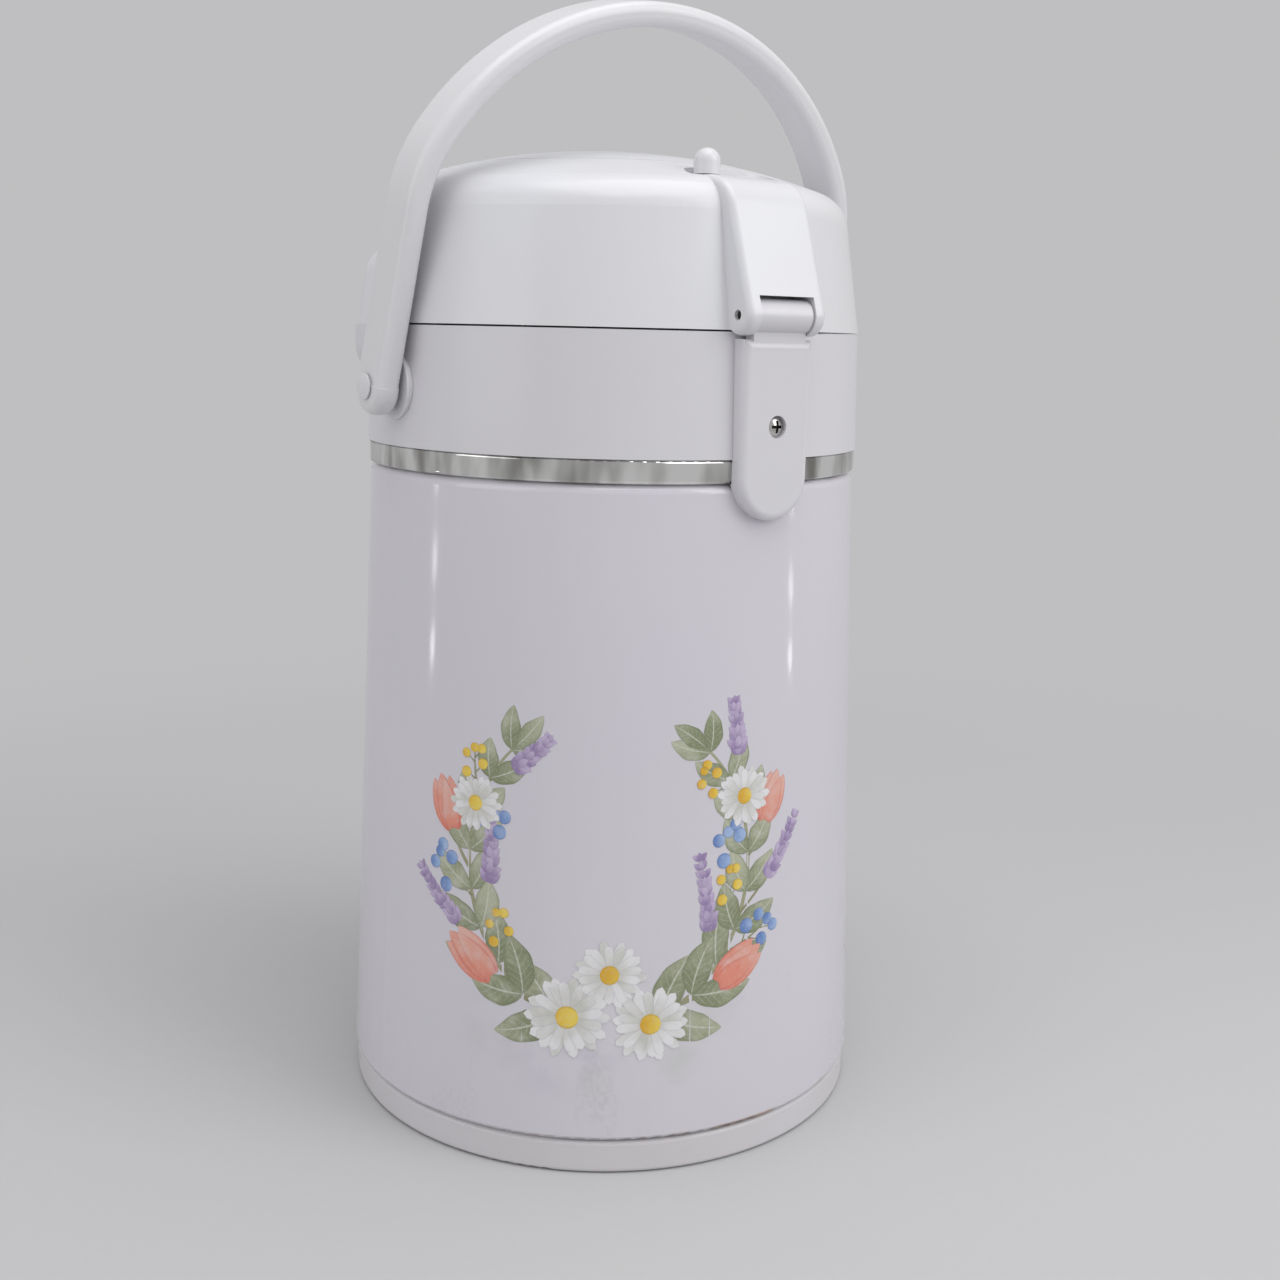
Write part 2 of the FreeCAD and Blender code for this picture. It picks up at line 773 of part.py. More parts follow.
def make_bracket():
    """The hinge plate on the back, hollowed to sit on collar, band and case, with its knuckle and screw."""
    bottom = collar_top - size.bracket_top_gap - size.bracket_length
    top = collar_top - size.bracket_top_gap
    half = size.bracket_half
    plate = new_body("bracket_plate")
    sketch = outline(new_sketch(plate, "XZ_Plane", -size.bracket_face), [
        (-half, bottom + half), (0, bottom, half, 1), (half, bottom + half, half, 1), (half, top),
        (-half, top),
    ])
    pad(plate, sketch, size.bracket_depth)
    face = size.bracket_face.value
    round_edges(plate, size.bracket_edge,
                lambda edge: near(edge.BoundBox.YMin, face) and near(edge.BoundBox.YMax, face))
    knuckle = cylinder("knuckle", size.knuckle_radius, 2 * size.knuckle_half, x=-size.knuckle_half,
                       y=size.hinge_distance, z=hinge_height, turn=ALONG_X)
    neck_face = size.hinge_distance + size.bracket_neck / 2
    neck = box("knuckle_neck", (-size.knuckle_half, size.knuckle_half),
               (neck_face - size.bracket_neck, neck_face), (top - size.bracket_neck_root, hinge_height))
    gap, low = size.seat_gap, bottom - size.overcut
    slope = (size.case_radius - size.case_top_radius) / size.case_height
    support = turned_body("bracket_seat", [
        (0, low), (size.case_top_radius + slope * (case_top - low) + gap, low),
        (size.case_top_radius + gap, case_top), (size.trim_radius + gap, case_top),
        (size.trim_radius + gap, collar_bottom), (size.collar_radius + gap, collar_bottom),
        (size.collar_top_radius + gap, collar_top + gap), (0, collar_top + gap),
    ])
    level = collar_top - size.screw_drop
    well = cylinder("screw_well", size.screw_head_radius + size.screw_well_fit, size.screw_head * 2,
                    y=size.bracket_face + size.screw_head, z=level, turn=ALONG_MINUS_Y)
    hole = cylinder("screw_way", size.screw_shank + size.screw_hole_fit, size.screw_length * 2,
                    y=size.bracket_face + size.screw_head, z=level, turn=ALONG_MINUS_Y)
    bore = cylinder("knuckle_bore", size.pin_radius + size.pin_run, 4 * size.knuckle_half,
                    x=-2 * size.knuckle_half, y=size.hinge_distance, z=hinge_height, turn=ALONG_X)
    finish(cut("hinge_bracket", fuse("bracket_whole", plate, knuckle, neck), support, well, hole, bore),
           "hinge_bracket")
    screw = cross_screw("bracket_screw", size.screw_length)
    place(screw, y=size.bracket_face - size.screw_head, z=level, turn=ALONG_Y)
    finish(screw, "bracket_screw")


def make_handle():
    """The arched handle, built upright about its pivot line and leant back, with what it swings on."""
    foot = size.handle_foot_half
    body = new_body("handle_arch")
    path = new_sketch(body, "XZ_Plane")
    spine_corners = arch_spine(path)
    section = new_sketch(body, "XY_Plane")
    half_x, half_y, edge = size.handle_thickness / 2, size.handle_width / 2, size.handle_edge
    half_end, end_radius = half_x + size.handle_end_proud, half_y + size.handle_end_proud
    lap = size.handle_end_lap
    outline(section, [
        (foot + half_x - edge, -half_y), (foot + half_x, edge - half_y, edge, 1),
        (foot + half_x, half_y - edge), (foot + half_x - edge, half_y, edge, 1),
        (foot - half_x + edge, half_y), (foot - half_x, half_y - edge, edge, 1),
        (foot - half_x, edge - half_y), (foot - half_x + edge, -half_y, edge, 1),
    ])
    doc.recompute()
    sweep = body.newObject("PartDesign::AdditivePipe", "handle_sweep")
    sweep.Profile = section
    sweep.Spine = (path, spine_corners)
    sweep.Mode = "Standard"
    pieces = [body]
    holes = []
    for name, sign, turn in (("left", -1, ALONG_MINUS_X), ("right", 1, ALONG_X)):
        end = new_body(f"handle_end_{name}")
        end_face = outline(new_sketch(end, "YZ_Plane", (foot - half_end) * sign), [
            (end_radius, 0, end_radius, 1), (end_radius, lap), (-end_radius, lap), (-end_radius, 0),
            (0, -end_radius, end_radius, 1),
        ])
        pad(end, end_face, 2 * half_end, backwards=sign < 0)
        round_edges(end, edge, lambda e: near(e.BoundBox.XLength, 0)
                    and not near(e.CenterOfMass.z, lap.value))
        pieces.append(end)
        holes.append(cylinder(f"handle_bore_{name}", size.pivot_pin_radius + size.pivot_run,
                              2 * size.handle_width, x=(foot - size.handle_width) * sign, turn=turn))
    handle = cut("handle", fuse("handle_whole", *pieces), *holes)
    place(handle, z=pivot_height, turn=Rotation(Vector(1, 0, 0), -size.handle_lean.value))
    bind(handle, "Placement.Rotation.Angle", -size.handle_lean)
    finish(handle, "handle")

    flange_face = collar_side(pivot_height) + size.bush_flange_thickness
    barrel_end = collar_inside - size.bush_depth
    seat = turned_body("bush_seat", [
        (0, collar_bottom), (size.collar_radius + size.seat_gap, collar_bottom),
        (size.collar_top_radius + size.seat_gap, collar_top), (0, collar_top),
    ])
    for name, turn in (("left", ALONG_MINUS_X), ("right", ALONG_X)):
        height = pivot_height
        bore = size.pivot_pin_radius + size.pivot_run
        flange_steps = ring_steps(bore, size.bush_flange, barrel_end, flange_face)
        flange = turned_body(f"bush_flange_{name}", flange_steps)
        round_edges(flange, size.bush_flange_thickness / 2, rim(size.bush_flange, flange_face))
        place(flange, z=height, turn=turn)
        barrel = turned_body(f"bush_barrel_{name}", ring_steps(bore, size.bush_barrel, barrel_end,
                                                               flange_face - size.bush_flange_thickness / 2))
        place(barrel, z=height, turn=turn)
        flange_ring = cut(f"bush_ring_{name}", flange, seat)
        finish(fuse(f"pivot_bush_{name}", flange_ring, barrel), f"pivot_bush_{name}")

        outside = foot + half_end + size.run_gap
        clip_outside = barrel_end - size.run_gap
        clip_inside = clip_outside - size.clip_thickness
        pin_end = clip_inside - size.pivot_pin_end
        cap_rise = size.pivot_pin_cap_height / 2
        pin = turned_body(f"pivot_pin_{name}", [
            (0, pin_end), (size.pivot_pin_radius, pin_end), (size.pivot_pin_radius, outside),
            (size.pivot_pin_cap, outside), (size.pivot_pin_cap, outside + cap_rise),
            (0, outside + 2 * cap_rise, crown_radius(size.pivot_pin_cap, cap_rise), 1),
        ])
        finish(place(pin, z=height, turn=turn), f"pivot_pin_{name}")
        clip_steps = ring_steps(size.pivot_pin_radius, size.clip_radius, clip_inside, clip_outside)
        clip = turned_body(f"pivot_clip_{name}", clip_steps)
        finish(place(clip, z=height, turn=turn), f"pivot_clip_{name}")


def collar_side(height):
    """The collar's outer radius at a height."""
    share = (height - collar_bottom) / size.collar_height
    return size.collar_radius + share * (size.collar_top_radius - size.collar_radius)


def arch_spine(sketch):
    """Draw the handle's centre line, legs, shoulders and crown, all tangent, and name its edges."""
    foot, side, leg = size.handle_foot_half, size.handle_leg_half, size.handle_leg
    rise, shoulder = size.handle_rise, size.handle_shoulder
    slope = math.atan2((foot - side).value, leg.value)
    inward = Vector(math.cos(slope), math.sin(slope), 0)
    right_top, left_top = Vector(side.value, leg.value, 0), Vector(-side.value, leg.value, 0)
    centre = right_top - inward * shoulder.value
    reach = (rise - shoulder).value
    crown_level = (reach * reach - centre.x ** 2 - centre.y ** 2) / (2 * (reach - centre.y))
    joint = math.atan2(centre.y - crown_level, centre.x)
    up = Vector(0, 0, 1)
    right_leg = sketch.addGeometry(Part.LineSegment(Vector(foot.value, 0, 0), right_top))
    right = sketch.addGeometry(Part.ArcOfCircle(Part.Circle(centre, up, shoulder.value), slope, joint))
    crown_circle = Part.Circle(Vector(0, crown_level, 0), up, rise.value - crown_level)
    crown = sketch.addGeometry(Part.ArcOfCircle(crown_circle, joint, math.pi - joint))
    mirror = Vector(-centre.x, centre.y, 0)
    left = sketch.addGeometry(Part.ArcOfCircle(Part.Circle(mirror, up, shoulder.value), math.pi - joint,
                                               math.pi - slope))
    left_leg = sketch.addGeometry(Part.LineSegment(left_top, Vector(-foot.value, 0, 0)))
    fix_point(sketch, right_leg, 1, foot, 0)
    fix_point(sketch, right_leg, 2, side, leg)
    fix_point(sketch, left_leg, 1, -side, leg)
    fix_point(sketch, left_leg, 2, -foot, 0)
    chain = [(right_leg, 2, right, 1), (right, 2, crown, 1), (crown, 2, left, 1), (left, 2, left_leg, 1)]
    for first, first_end, second, second_end in chain:
        sketch.addConstraint(Sketcher.Constraint("Tangent", first, first_end, second, second_end))
    row = sketch.addConstraint(Sketcher.Constraint("Radius", right, shoulder.value))
    bind(sketch, f"Constraints[{row}]", shoulder)
    sketch.addConstraint(Sketcher.Constraint("PointOnObject", crown, 3, -2))
    top = sketch.addGeometry(Part.Point(Vector(0, rise.value, 0)))
    sketch.toggleConstruction(top)
    sketch.addConstraint(Sketcher.Constraint("PointOnObject", top, 1, crown))
    fix_point(sketch, top, 1, 0, rise)
    return [f"Edge{number}" for number in range(1, 6)]


def make_water_path():
    """The stopper in the neck with its seal, the tube into the flask, the pipe in the beak and the nozzle."""
    plug, groove, hollow = stopper_plug, stopper_groove, stopper_hollow
    low = deck_top - size.stopper_depth
    seal_top = deck_top - size.seal_drop
    seal_low = seal_top - size.seal_height
    roof = deck_top - size.stopper_roof
    body = turned_body("stopper_body", [
        (0, roof), (hollow, roof), (hollow, low), (plug, low), (plug, seal_low), (groove, seal_low),
        (groove, seal_top), (plug, seal_top), (plug, deck_top), (size.stopper_flange, deck_top),
        (size.stopper_flange, stopper_top), (0, stopper_top),
    ])
    tube_way = cylinder("tube_way", size.tube_radius + size.seat_gap, size.stopper_depth * 2,
                        y=-tube_offset, z=low)
    air_way = cylinder("air_way", size.air_radius, size.stopper_depth * 2, y=size.air_offset, z=low)
    finish(cut("mouth_stopper", body, tube_way, air_way), "mouth_stopper")
    seal = ring_steps(groove + size.seat_gap, size.neck_radius - size.seat_gap, seal_low, seal_top)
    finish(turned_body("stopper_seal", seal), "stopper_seal")

    tube_low = size.flask_floor + size.tube_foot_gap
    tube_bore = size.tube_radius - size.tube_wall
    tube = turned_body("dip_tube", ring_steps(tube_bore, size.tube_radius, tube_low, stopper_top))
    finish(place(tube, y=-tube_offset), "dip_tube")

    outlet_low = pipe_level - size.pipe_bend - size.outlet_drop
    pipe = doc.addObject("Part::Feature", "pour_pipe")
    pipe_bore = size.pipe_radius - size.pipe_wall
    pipe.Shape = bent_pipe(size.pipe_radius, outlet_low).cut(bent_pipe(pipe_bore, outlet_low))
    finish(pipe, "pour_pipe")

    nozzle_top = outlet_low + size.nozzle_lap
    nozzle_low = nozzle_top - size.nozzle_length
    sleeve = size.pipe_radius + size.seat_gap
    nozzle = turned_body("nozzle", [
        (pipe_bore, nozzle_low), (size.nozzle_tip_radius, nozzle_low), (size.nozzle_radius, outlet_low),
        (size.nozzle_radius, nozzle_top), (sleeve, nozzle_top), (sleeve, outlet_low), (pipe_bore, outlet_low),
    ])
    finish(place(nozzle, y=-size.outlet_reach), "nozzle")


def bent_pipe(radius, outlet_low):
    """A round rod from the stopper up, forward along the beak and down to the outlet."""
    bend, level = size.pipe_bend.value, pipe_level.value
    start, out = -tube_offset.value, -size.outlet_reach.value
    half = bend * math.sqrt(0.5)
    rise = [Vector(0, start, stopper_top.value), Vector(0, start, level - bend)]
    first = [rise[1], Vector(0, start - bend + half, level - bend + half), Vector(0, start - bend, level)]
    last = [Vector(0, out + bend, level), Vector(0, out + bend - half, level - bend + half),
            Vector(0, out, level - bend)]
    drop = [last[2], Vector(0, out, outlet_low.value)]
    path = Part.Wire([
        Part.LineSegment(*rise).toShape(), Part.Arc(*first).toShape(),
        Part.LineSegment(first[2], last[0]).toShape(), Part.Arc(*last).toShape(),
        Part.LineSegment(*drop).toShape(),
    ])
    section = Part.Wire(Part.Circle(rise[0], Vector(0, 0, 1), radius.value).toShape())
    return path.makePipeShell([section], True, False)


def lid_block(name, inset):
    """The lid's outer form moved in by inset: tapered sides, a dome crowned both ways and a round edge."""
    body = new_body(name)
    tall = size.lid_height + size.lid_edge
    pad(body, head_outline(new_sketch(body, "XY_Plane", lid_bottom), -inset), tall, taper=size.lid_taper)
    across, along = size.dome_across - inset, size.dome_along - inset
    axis_level = lid_top - size.dome_along
    sky = new_sketch(body, "XZ_Plane", size.dome_forward, axis_level)
    half = size.beak_reach
    rim_level = along - across + root(across * across - half * half)
    outline(sky, [
        (half, rim_level, across, -1), (half, along + tall), (-half, along + tall), (-half, rim_level),
    ])
    doc.recompute()
    solid_before = body.Shape.Volume
    dome = body.newObject("PartDesign::Groove", f"{name}_dome")
    dome.Profile = sky
    dome.ReferenceAxis = (sky, ["H_Axis"])
    dome.Midplane = True
    dome.Angle = DOME_SWEEP
    doc.recompute()
    if body.Shape.Volume >= solid_before:
        raise RuntimeError(f"{name}: the dome cut nothing")
    crown = max(dome.Shape.Faces, key=lambda face: face.CenterOfMass.z)
    border = [edge.CenterOfMass for edge in crown.Edges]
    top_corner = size.beak_corner - size.lid_height * tangent(size.lid_taper)
    round_edges(body, least(size.lid_edge, top_corner + size.lid_edge_spare) - inset,
                lambda edge: any(edge.CenterOfMass.distanceToPoint(point) < 1e-4 for point in border))
    return body


def make_lid(front, keeper_low):
    """The lid's shell with its hinge housing, what closes it below, and the lock and catch on it."""
    solid = lid_block("lid_outside", as_dim(0))
    cavity = lid_block("lid_inside", size.lid_wall)
    pin_x, pin_y, pin_z = size.pin_half, size.hinge_distance, hinge_height
    lean_sine, lean_cosine = sine(size.housing_lean), cosine(size.housing_lean)
    face_y, face_z = pin_y + size.lug_radius * lean_cosine, pin_z + size.lug_radius * lean_sine
    top_y, top_z = face_y - size.housing_shoulder * lean_sine, face_z + size.housing_shoulder * lean_cosine
    round_y = top_y - size.housing_top_round * (lean_cosine - sine(size.housing_top_slope))
    round_z = top_z + size.housing_top_round * (cosine(size.housing_top_slope) - lean_sine)
    root_z = round_z + (round_y - size.housing_root) * tangent(size.housing_top_slope)
    over = size.overcut
    housing = new_body("hinge_housing")
    side_view = outline(new_sketch(housing, "YZ_Plane"), [
        (size.housing_root, lid_bottom), (pin_y - size.lug_radius / 2, lid_bottom),
        (pin_y, pin_z - size.lug_radius), (face_y, face_z, size.lug_radius, 1), (top_y, top_z),
        (round_y, round_z, size.housing_top_round, 1), (size.housing_root, root_z),
    ])
    pad(housing, side_view, 2 * size.lug_half, symmetric=True)
    side = size.lug_half.value
    round_edges(housing, size.lug_edge, lambda edge: near(abs(edge.CenterOfMass.x), side)
                and edge.CenterOfMass.y > (size.housing_root + over).value
                and edge.CenterOfMass.z > hinge_height.value)

    plate_top = lid_top + size.lid_edge
    hole_radius = size.plate_radius + size.plate_gap
    sleeve_low = lid_top - size.lid_wall - size.sleeve_length
    sleeve_radius = hole_radius + size.sleeve_wall
    sleeve = common("plate_sleeve", solid, cut(
        "sleeve_tube", cylinder("sleeve_outside", sleeve_radius, plate_top - sleeve_low, z=sleeve_low),
        cylinder("sleeve_inside", hole_radius, plate_top - sleeve_low + 2 * over, z=sleeve_low - over)))
    posts = []
    for n, (x, y) in enumerate(lid_screw_spots()):
        post = cylinder(f"post_{n}", size.lid_post_radius, plate_top - base_top, x=x, y=y, z=base_top)
        bore = cylinder(f"post_bore_{n}", size.screw_shank + size.screw_hole_fit,
                        size.lid_screw_length + over, x=x, y=y, z=base_top - over)
        posts.append(cut(f"screw_post_{n}", post, bore))
    posts_inside = common("screw_posts", solid, fuse("all_posts", *posts))
    walls = cut("lid_walls", fuse("lid_and_housing", solid, housing), cavity)
    plate_hole = cylinder("plate_hole", hole_radius, plate_top, z=sleeve_low + over)
    slot_half = size.knuckle_half + size.knuckle_side_gap
    slot = box("knuckle_slot", (-slot_half, slot_half),
               (pin_y - size.knuckle_radius - size.knuckle_gap, pin_y + 3 * size.lug_radius),
               (pin_z - 2 * size.lug_radius, pin_z + size.knuckle_radius + size.knuckle_gap))
    pin_hole = cylinder("pin_hole", size.pin_radius, 4 * pin_x, x=-2 * pin_x, y=pin_y, z=pin_z, turn=ALONG_X)
    lock_tools = lock_openings()
    window = catch_window()
    window_half = size.lock_tab_width / 2 + over
    tab_window = box("tab_window", (-size.lock_offset - window_half, window_half - size.lock_offset),
                     (size.plate_radius - 2 * size.lock_tab_width, size.plate_radius + size.lock_tab_width),
                     (sleeve_low - over, lock_tab_top() + over))
    opened = cut("lid_opened", walls, plate_hole, slot, pin_hole, window, *lock_tools)
    sleeve_open = cut("sleeve_open", sleeve, tab_window)
    sleeve_trim = cut("sleeve_trim", sleeve_open, lock_tools[1])
    finish(fuse("lid_shell", opened, sleeve_trim, posts_inside), "lid_shell")
    pin = cylinder("hinge_pin", size.pin_radius, 2 * pin_x, x=-pin_x, y=pin_y, z=pin_z, turn=ALONG_X)
    finish(pin, "hinge_pin")
    make_lid_base()
    make_pump(solid, cavity)
    make_lock()
    make_catch(front, keeper_low)


def lock_floor():
    """The level of the flat floor of the lock's trough, a little under the dome's surface there."""
    along = size.lock_distance + size.dome_forward
    rise = root(size.dome_along * size.dome_along - along * along)
    return lid_top - size.dome_along + rise - size.trough_sink


def lock_tab_top():
    """The top of the push plate's tab, which the lock's tongue slides under."""
    return lock_floor() - size.lock_tab_depth


def capsule(name, half_length, half_width, y, low, high):
    body = new_body(name)
    straight = half_length - half_width
    pad(body, outline(new_sketch(body, "XY_Plane", low), [
        (-straight, y - half_width, half_width, 1), (straight, y - half_width),
        (straight + half_width, y, half_width, 1), (straight, y + half_width, half_width, 1),
        (-straight, y + half_width), (-straight - half_width, y, half_width, 1),
    ]), high - low)
    return body


def lock_openings():
    """The trough in the lid's top and the slot through it for the lock's post."""
    floor = lock_floor()
    trough = capsule("lock_trough", size.trough_half_length, size.trough_half_width, size.lock_distance,
                     floor, lid_top + size.overcut)
    slot_half = size.lock_stem_radius + size.lock_gap
    slot = capsule("lock_slot", size.lock_offset + slot_half, slot_half, size.lock_distance,
                   floor - size.lid_edge, floor + size.overcut)
    return trough, slot


def make_lock():
    """The sliding lock: a round-topped post, its plate under the shell and a tongue that blocks the plate."""
    floor = lock_floor()
    plate_top = floor - size.lock_plate_depth
    plate_low = plate_top - size.lock_plate_thickness
    post_top = floor + size.lock_post_height
    post_low = floor + size.lock_gap
    post = turned_body("lock_post", [
        (0, plate_low), (size.lock_stem_radius, plate_low), (size.lock_stem_radius, post_low),
        (size.lock_post_radius, post_low), (size.lock_post_radius, post_top - size.lock_post_radius),
        (0, post_top, size.lock_post_radius, 1),
    ])
    place(post, x=size.lock_offset, y=size.lock_distance)
    reach = size.lock_plate_width / 2
    half = size.lock_plate_length / 2
    plate = capsule("lock_plate", half, reach, size.lock_distance, plate_low, plate_top)
    place(plate, x=size.lock_offset)
    tab_low = lock_tab_top() - size.lock_tab_thickness - size.run_gap
    tongue_low = tab_low - size.lock_tab_thickness
    tongue_half = size.lock_tab_width / 2
    tongue_in = size.plate_radius + size.plate_gap + size.sleeve_wall + size.run_gap
    tongue = box("lock_tongue", (size.lock_offset - tongue_half, size.lock_offset + tongue_half),
                 (tongue_in, size.lock_distance), (tongue_low, tab_low))
    riser = box("lock_riser", (size.lock_offset - tongue_half, size.lock_offset + tongue_half),
                (size.lock_distance - reach / 2, size.lock_distance), (tongue_low, plate_top))
    finish(fuse("lock_slider", post, plate, tongue, riser), "lock_slider")


def lid_screw_spots():
    """The places of the four screws, in turn round the lid."""
    x, y = size.lid_screw_x, size.lid_screw_y
    return [(x, y), (-x, y), (-x, -y), (x, -y)]


def make_lid_base():
    """The plate that closes the lid's underside, with its air duct, seal, flap valve and screws."""
    plate = new_body("base_plate")
    pad(plate, head_outline(new_sketch(plate, "XY_Plane", base_bottom), -size.lid_wall - size.base_fit),
        size.base_thickness, taper=size.lid_taper)
    seal_low = stopper_top + size.duct_seal_gap
    duct_low = seal_low + size.duct_seal_height
    over = size.overcut
    duct = cylinder("duct", size.duct_radius + size.duct_wall, base_bottom - duct_low + over,
                    y=size.air_offset, z=duct_low)
    way = cylinder("duct_way", size.duct_radius, size.lid_height, y=size.air_offset, z=duct_low - over)
    slot_half = size.knuckle_half + size.knuckle_side_gap
    hinge_room = box("base_hinge_room", (-slot_half, slot_half),
                     (size.hinge_distance - size.knuckle_radius - size.knuckle_gap, size.hinge_distance),
                     (base_bottom - over, base_top + over))
    hook_half = size.catch_half + size.catch_gap
    hook_room = box("base_hook_room", (-hook_half, hook_half),
                    (-size.beak_reach, size.catch_room - size.beak_reach),
                    (base_bottom - over, base_top + over))
    spots = lid_screw_spots()
    holes = [cylinder(f"base_hole_{n}", size.screw_shank + size.screw_hole_fit, size.lid_height, x=x, y=y,
                      z=base_bottom - over) for n, (x, y) in enumerate(spots)]
    whole = fuse("base_and_duct", plate, duct)
    finish(cut("lid_base", whole, way, hinge_room, hook_room, *holes), "lid_base")

    seal_outside = size.duct_radius + size.duct_seal_wall
    seal = turned_body("lid_gasket", ring_steps(size.duct_radius, seal_outside, seal_low, duct_low))
    finish(place(seal, y=size.air_offset), "lid_gasket")
    flap = cylinder("air_valve", size.valve_radius, size.valve_thickness, y=size.air_offset, z=base_top)
    finish(flap, "air_valve")
    screws = []
    for n, (x, y) in enumerate(spots):
        screw = cross_screw(f"lid_screw_{n}", size.lid_screw_length)
        screws.append(place(screw, x=x, y=y, z=base_bottom, turn=UPSIDE_DOWN))
    group = doc.addObject("Part::Compound", "lid_screws")
    group.Links = screws
    finish(group, "lid_screws")


def make_pump(solid, cavity):
    """The push plate cut from the lid's own dome, the bellows under it and the spring that brings it back."""
    plate_top = lid_top + size.lid_edge
    skirt_low = lid_top - size.lid_wall - size.plate_skirt - size.plate_skirt_wall
    bellows_low = base_top
    folds = int(size.bellows_folds.value)
    bellows_high = bellows_low + size.bellows_flange + size.bellows_folds * size.bellows_pitch
    cap = common("plate_cap", cut("dome_skin", solid, cavity),
                 cylinder("plate_disc", size.plate_radius, plate_top, z=skirt_low))
    skirt_inside = size.plate_radius - size.plate_skirt_wall
    skirt_tube = cut("skirt_tube",
                     cylinder("skirt_outside", size.plate_radius, plate_top - skirt_low, z=skirt_low),
                     cylinder("skirt_inside", skirt_inside, plate_top, z=skirt_low - size.overcut))
    boss_low = bellows_high + size.bellows_top + size.run_gap
    boss = cylinder("plate_boss", size.plate_boss_radius, plate_top - boss_low, z=boss_low)
    inner = common("plate_inner", solid, fuse("skirt_and_boss", skirt_tube, boss))
    tab_half = size.lock_tab_width / 2
    tab = box("plate_tab", (-size.lock_offset - tab_half, tab_half - size.lock_offset),
              (size.plate_radius - size.plate_skirt_wall, size.plate_radius + size.lock_tab_reach),
              (lock_tab_top() - size.lock_tab_thickness, lock_tab_top()))
    finish(fuse("push_plate", cap, inner, tab), "push_plate")

    outer, inner_fold, wall = bellows_radius, bellows_radius - size.bellows_fold, size.bellows_wall
    start = bellows_low + size.bellows_flange
    outside = [(inner_fold - wall, bellows_low), (outer + wall, bellows_low), (outer + wall, start)]
    outside.append((inner_fold, start))
    inside = []
    for fold in range(folds):
        middle = start + (fold + 0.5) * size.bellows_pitch
        end = middle + 0.5 * size.bellows_pitch
        outside += [(outer, middle), (inner_fold, end)]
        inside += [(outer - size.bellows_crest_wall, middle), (inner_fold - wall, end)]
    inside[-1] = (0, bellows_high)
    lower = [(inner_fold - wall, start)]
    roof = [(inner_fold, bellows_high + size.bellows_top), (0, bellows_high + size.bellows_top)]
    throat = [(inner_fold - wall, bellows_high)]
    steps = outside + roof + [inside[-1]] + throat + list(reversed(inside[:-1])) + lower
    finish(turned_body("bellows", steps), "bellows")

    spring = doc.addObject("Part::Feature", "return_spring")
    wire = size.spring_wire.value / 2
    spring.Shape = coil(spring_radius.value, wire, base_top.value + wire + size.run_gap.value,
                        bellows_high.value - wire - size.run_gap.value, size.spring_pitch.value)
    finish(spring, "return_spring")


def coil(radius, wire, low, high, pitch):
    """A helical wire of round section, on arcs of about a quarter turn that follow on smoothly."""
    quarters = max(4, round(4 * (high - low) / pitch))
    climb = (high - low) / quarters
    spots, ways = [], []
    for n in range(quarters + 1):
        angle = n * math.pi / 2
        spots.append(Vector(radius * math.cos(angle), radius * math.sin(angle), low + n * climb))
        way = Vector(-radius * math.sin(angle) * math.pi / 2, radius * math.cos(angle) * math.pi / 2, climb)
        ways.append(way.normalize())
    edges = []
    for n in range(quarters):
        edges += biarc(spots[n], ways[n], spots[n + 1], ways[n + 1])
    gap = climb * 4 - 2 * wire
    print(f"return_spring: {quarters / 4} turns, least gap between turns {gap:.2f} mm")
    section = Part.Wire(Part.Circle(spots[0], ways[0], wire).toShape())
    return Part.Wire(edges).makePipeShell([section], True, False)


def biarc(start, start_way, end, end_way):
    """Two tangent arcs between two points with set directions."""
    gap, both = end - start, start_way + end_way
    spread = 2 * (1 - start_way.dot(end_way))
    reach = (-gap.dot(both) + math.sqrt(gap.dot(both) ** 2 + spread * gap.dot(gap))) / spread
    first, second = start + start_way * reach, end - end_way * reach
    middle = (first + second) / 2
    return [arc_by_corner(start, first, middle), arc_by_corner(middle, second, end)]


def arc_by_corner(start, corner, end):
    """The arc that leaves start towards corner and comes in to end from it."""
    turn = (corner - start).getAngle(end - corner) / 2
    base = (start + end) / 2
    crest = base + (corner - base) * (math.cos(turn) / (1 + math.cos(turn)))
    return Part.Arc(start, crest, end).toShape()


def catch_levels():
    low = lid_bottom + size.catch_rise
    return low, low + size.catch_height


def catch_window():
    """The opening in the beak's front that the catch's button looks out of."""
    low, high = catch_levels()
    gap = size.catch_gap
    return box("catch_window", (-size.catch_half - gap, size.catch_half + gap),
               (-size.beak_reach - 2 * size.lid_wall, 3 * size.lid_wall - size.beak_reach),
               (low - gap, high + gap))


def make_catch(front, keeper_low):
    """The front catch: a button in the beak's front with a leg whose nose lies under the collar's keeper."""
    low, high = catch_levels()
    wall_front = (low + size.catch_height / 2 - lid_bottom) * tangent(size.lid_taper) - size.beak_reach
    half = size.catch_half
    leg_front = front + size.catch_set_back
    leg_back = leg_front + size.catch_leg
    nose_top = keeper_low - size.catch_gap
    nose_low = nose_top - size.catch_nose
    leg_half = size.catch_leg_half
    nose_front = front + size.keeper_depth - size.catch_bite
    button = box("catch_button", (-half, half), (wall_front - size.catch_proud, leg_back), (low, high))
    leg = box("catch_leg", (-leg_half, leg_half), (leg_front, leg_back), (nose_low, high))
    nose = box("catch_nose", (-leg_half, leg_half), (nose_front, leg_back), (nose_low, nose_top))
    finish(fuse("lid_catch", button, leg, nose), "lid_catch")


make_foot()
make_case()
liner_lip, liner_gasket_top = make_liner()
spout_front, keeper_level = make_collar(liner_lip, liner_gasket_top)
make_bracket()
make_handle()
make_water_path()
make_lid(spout_front, keeper_level)
doc.recompute()

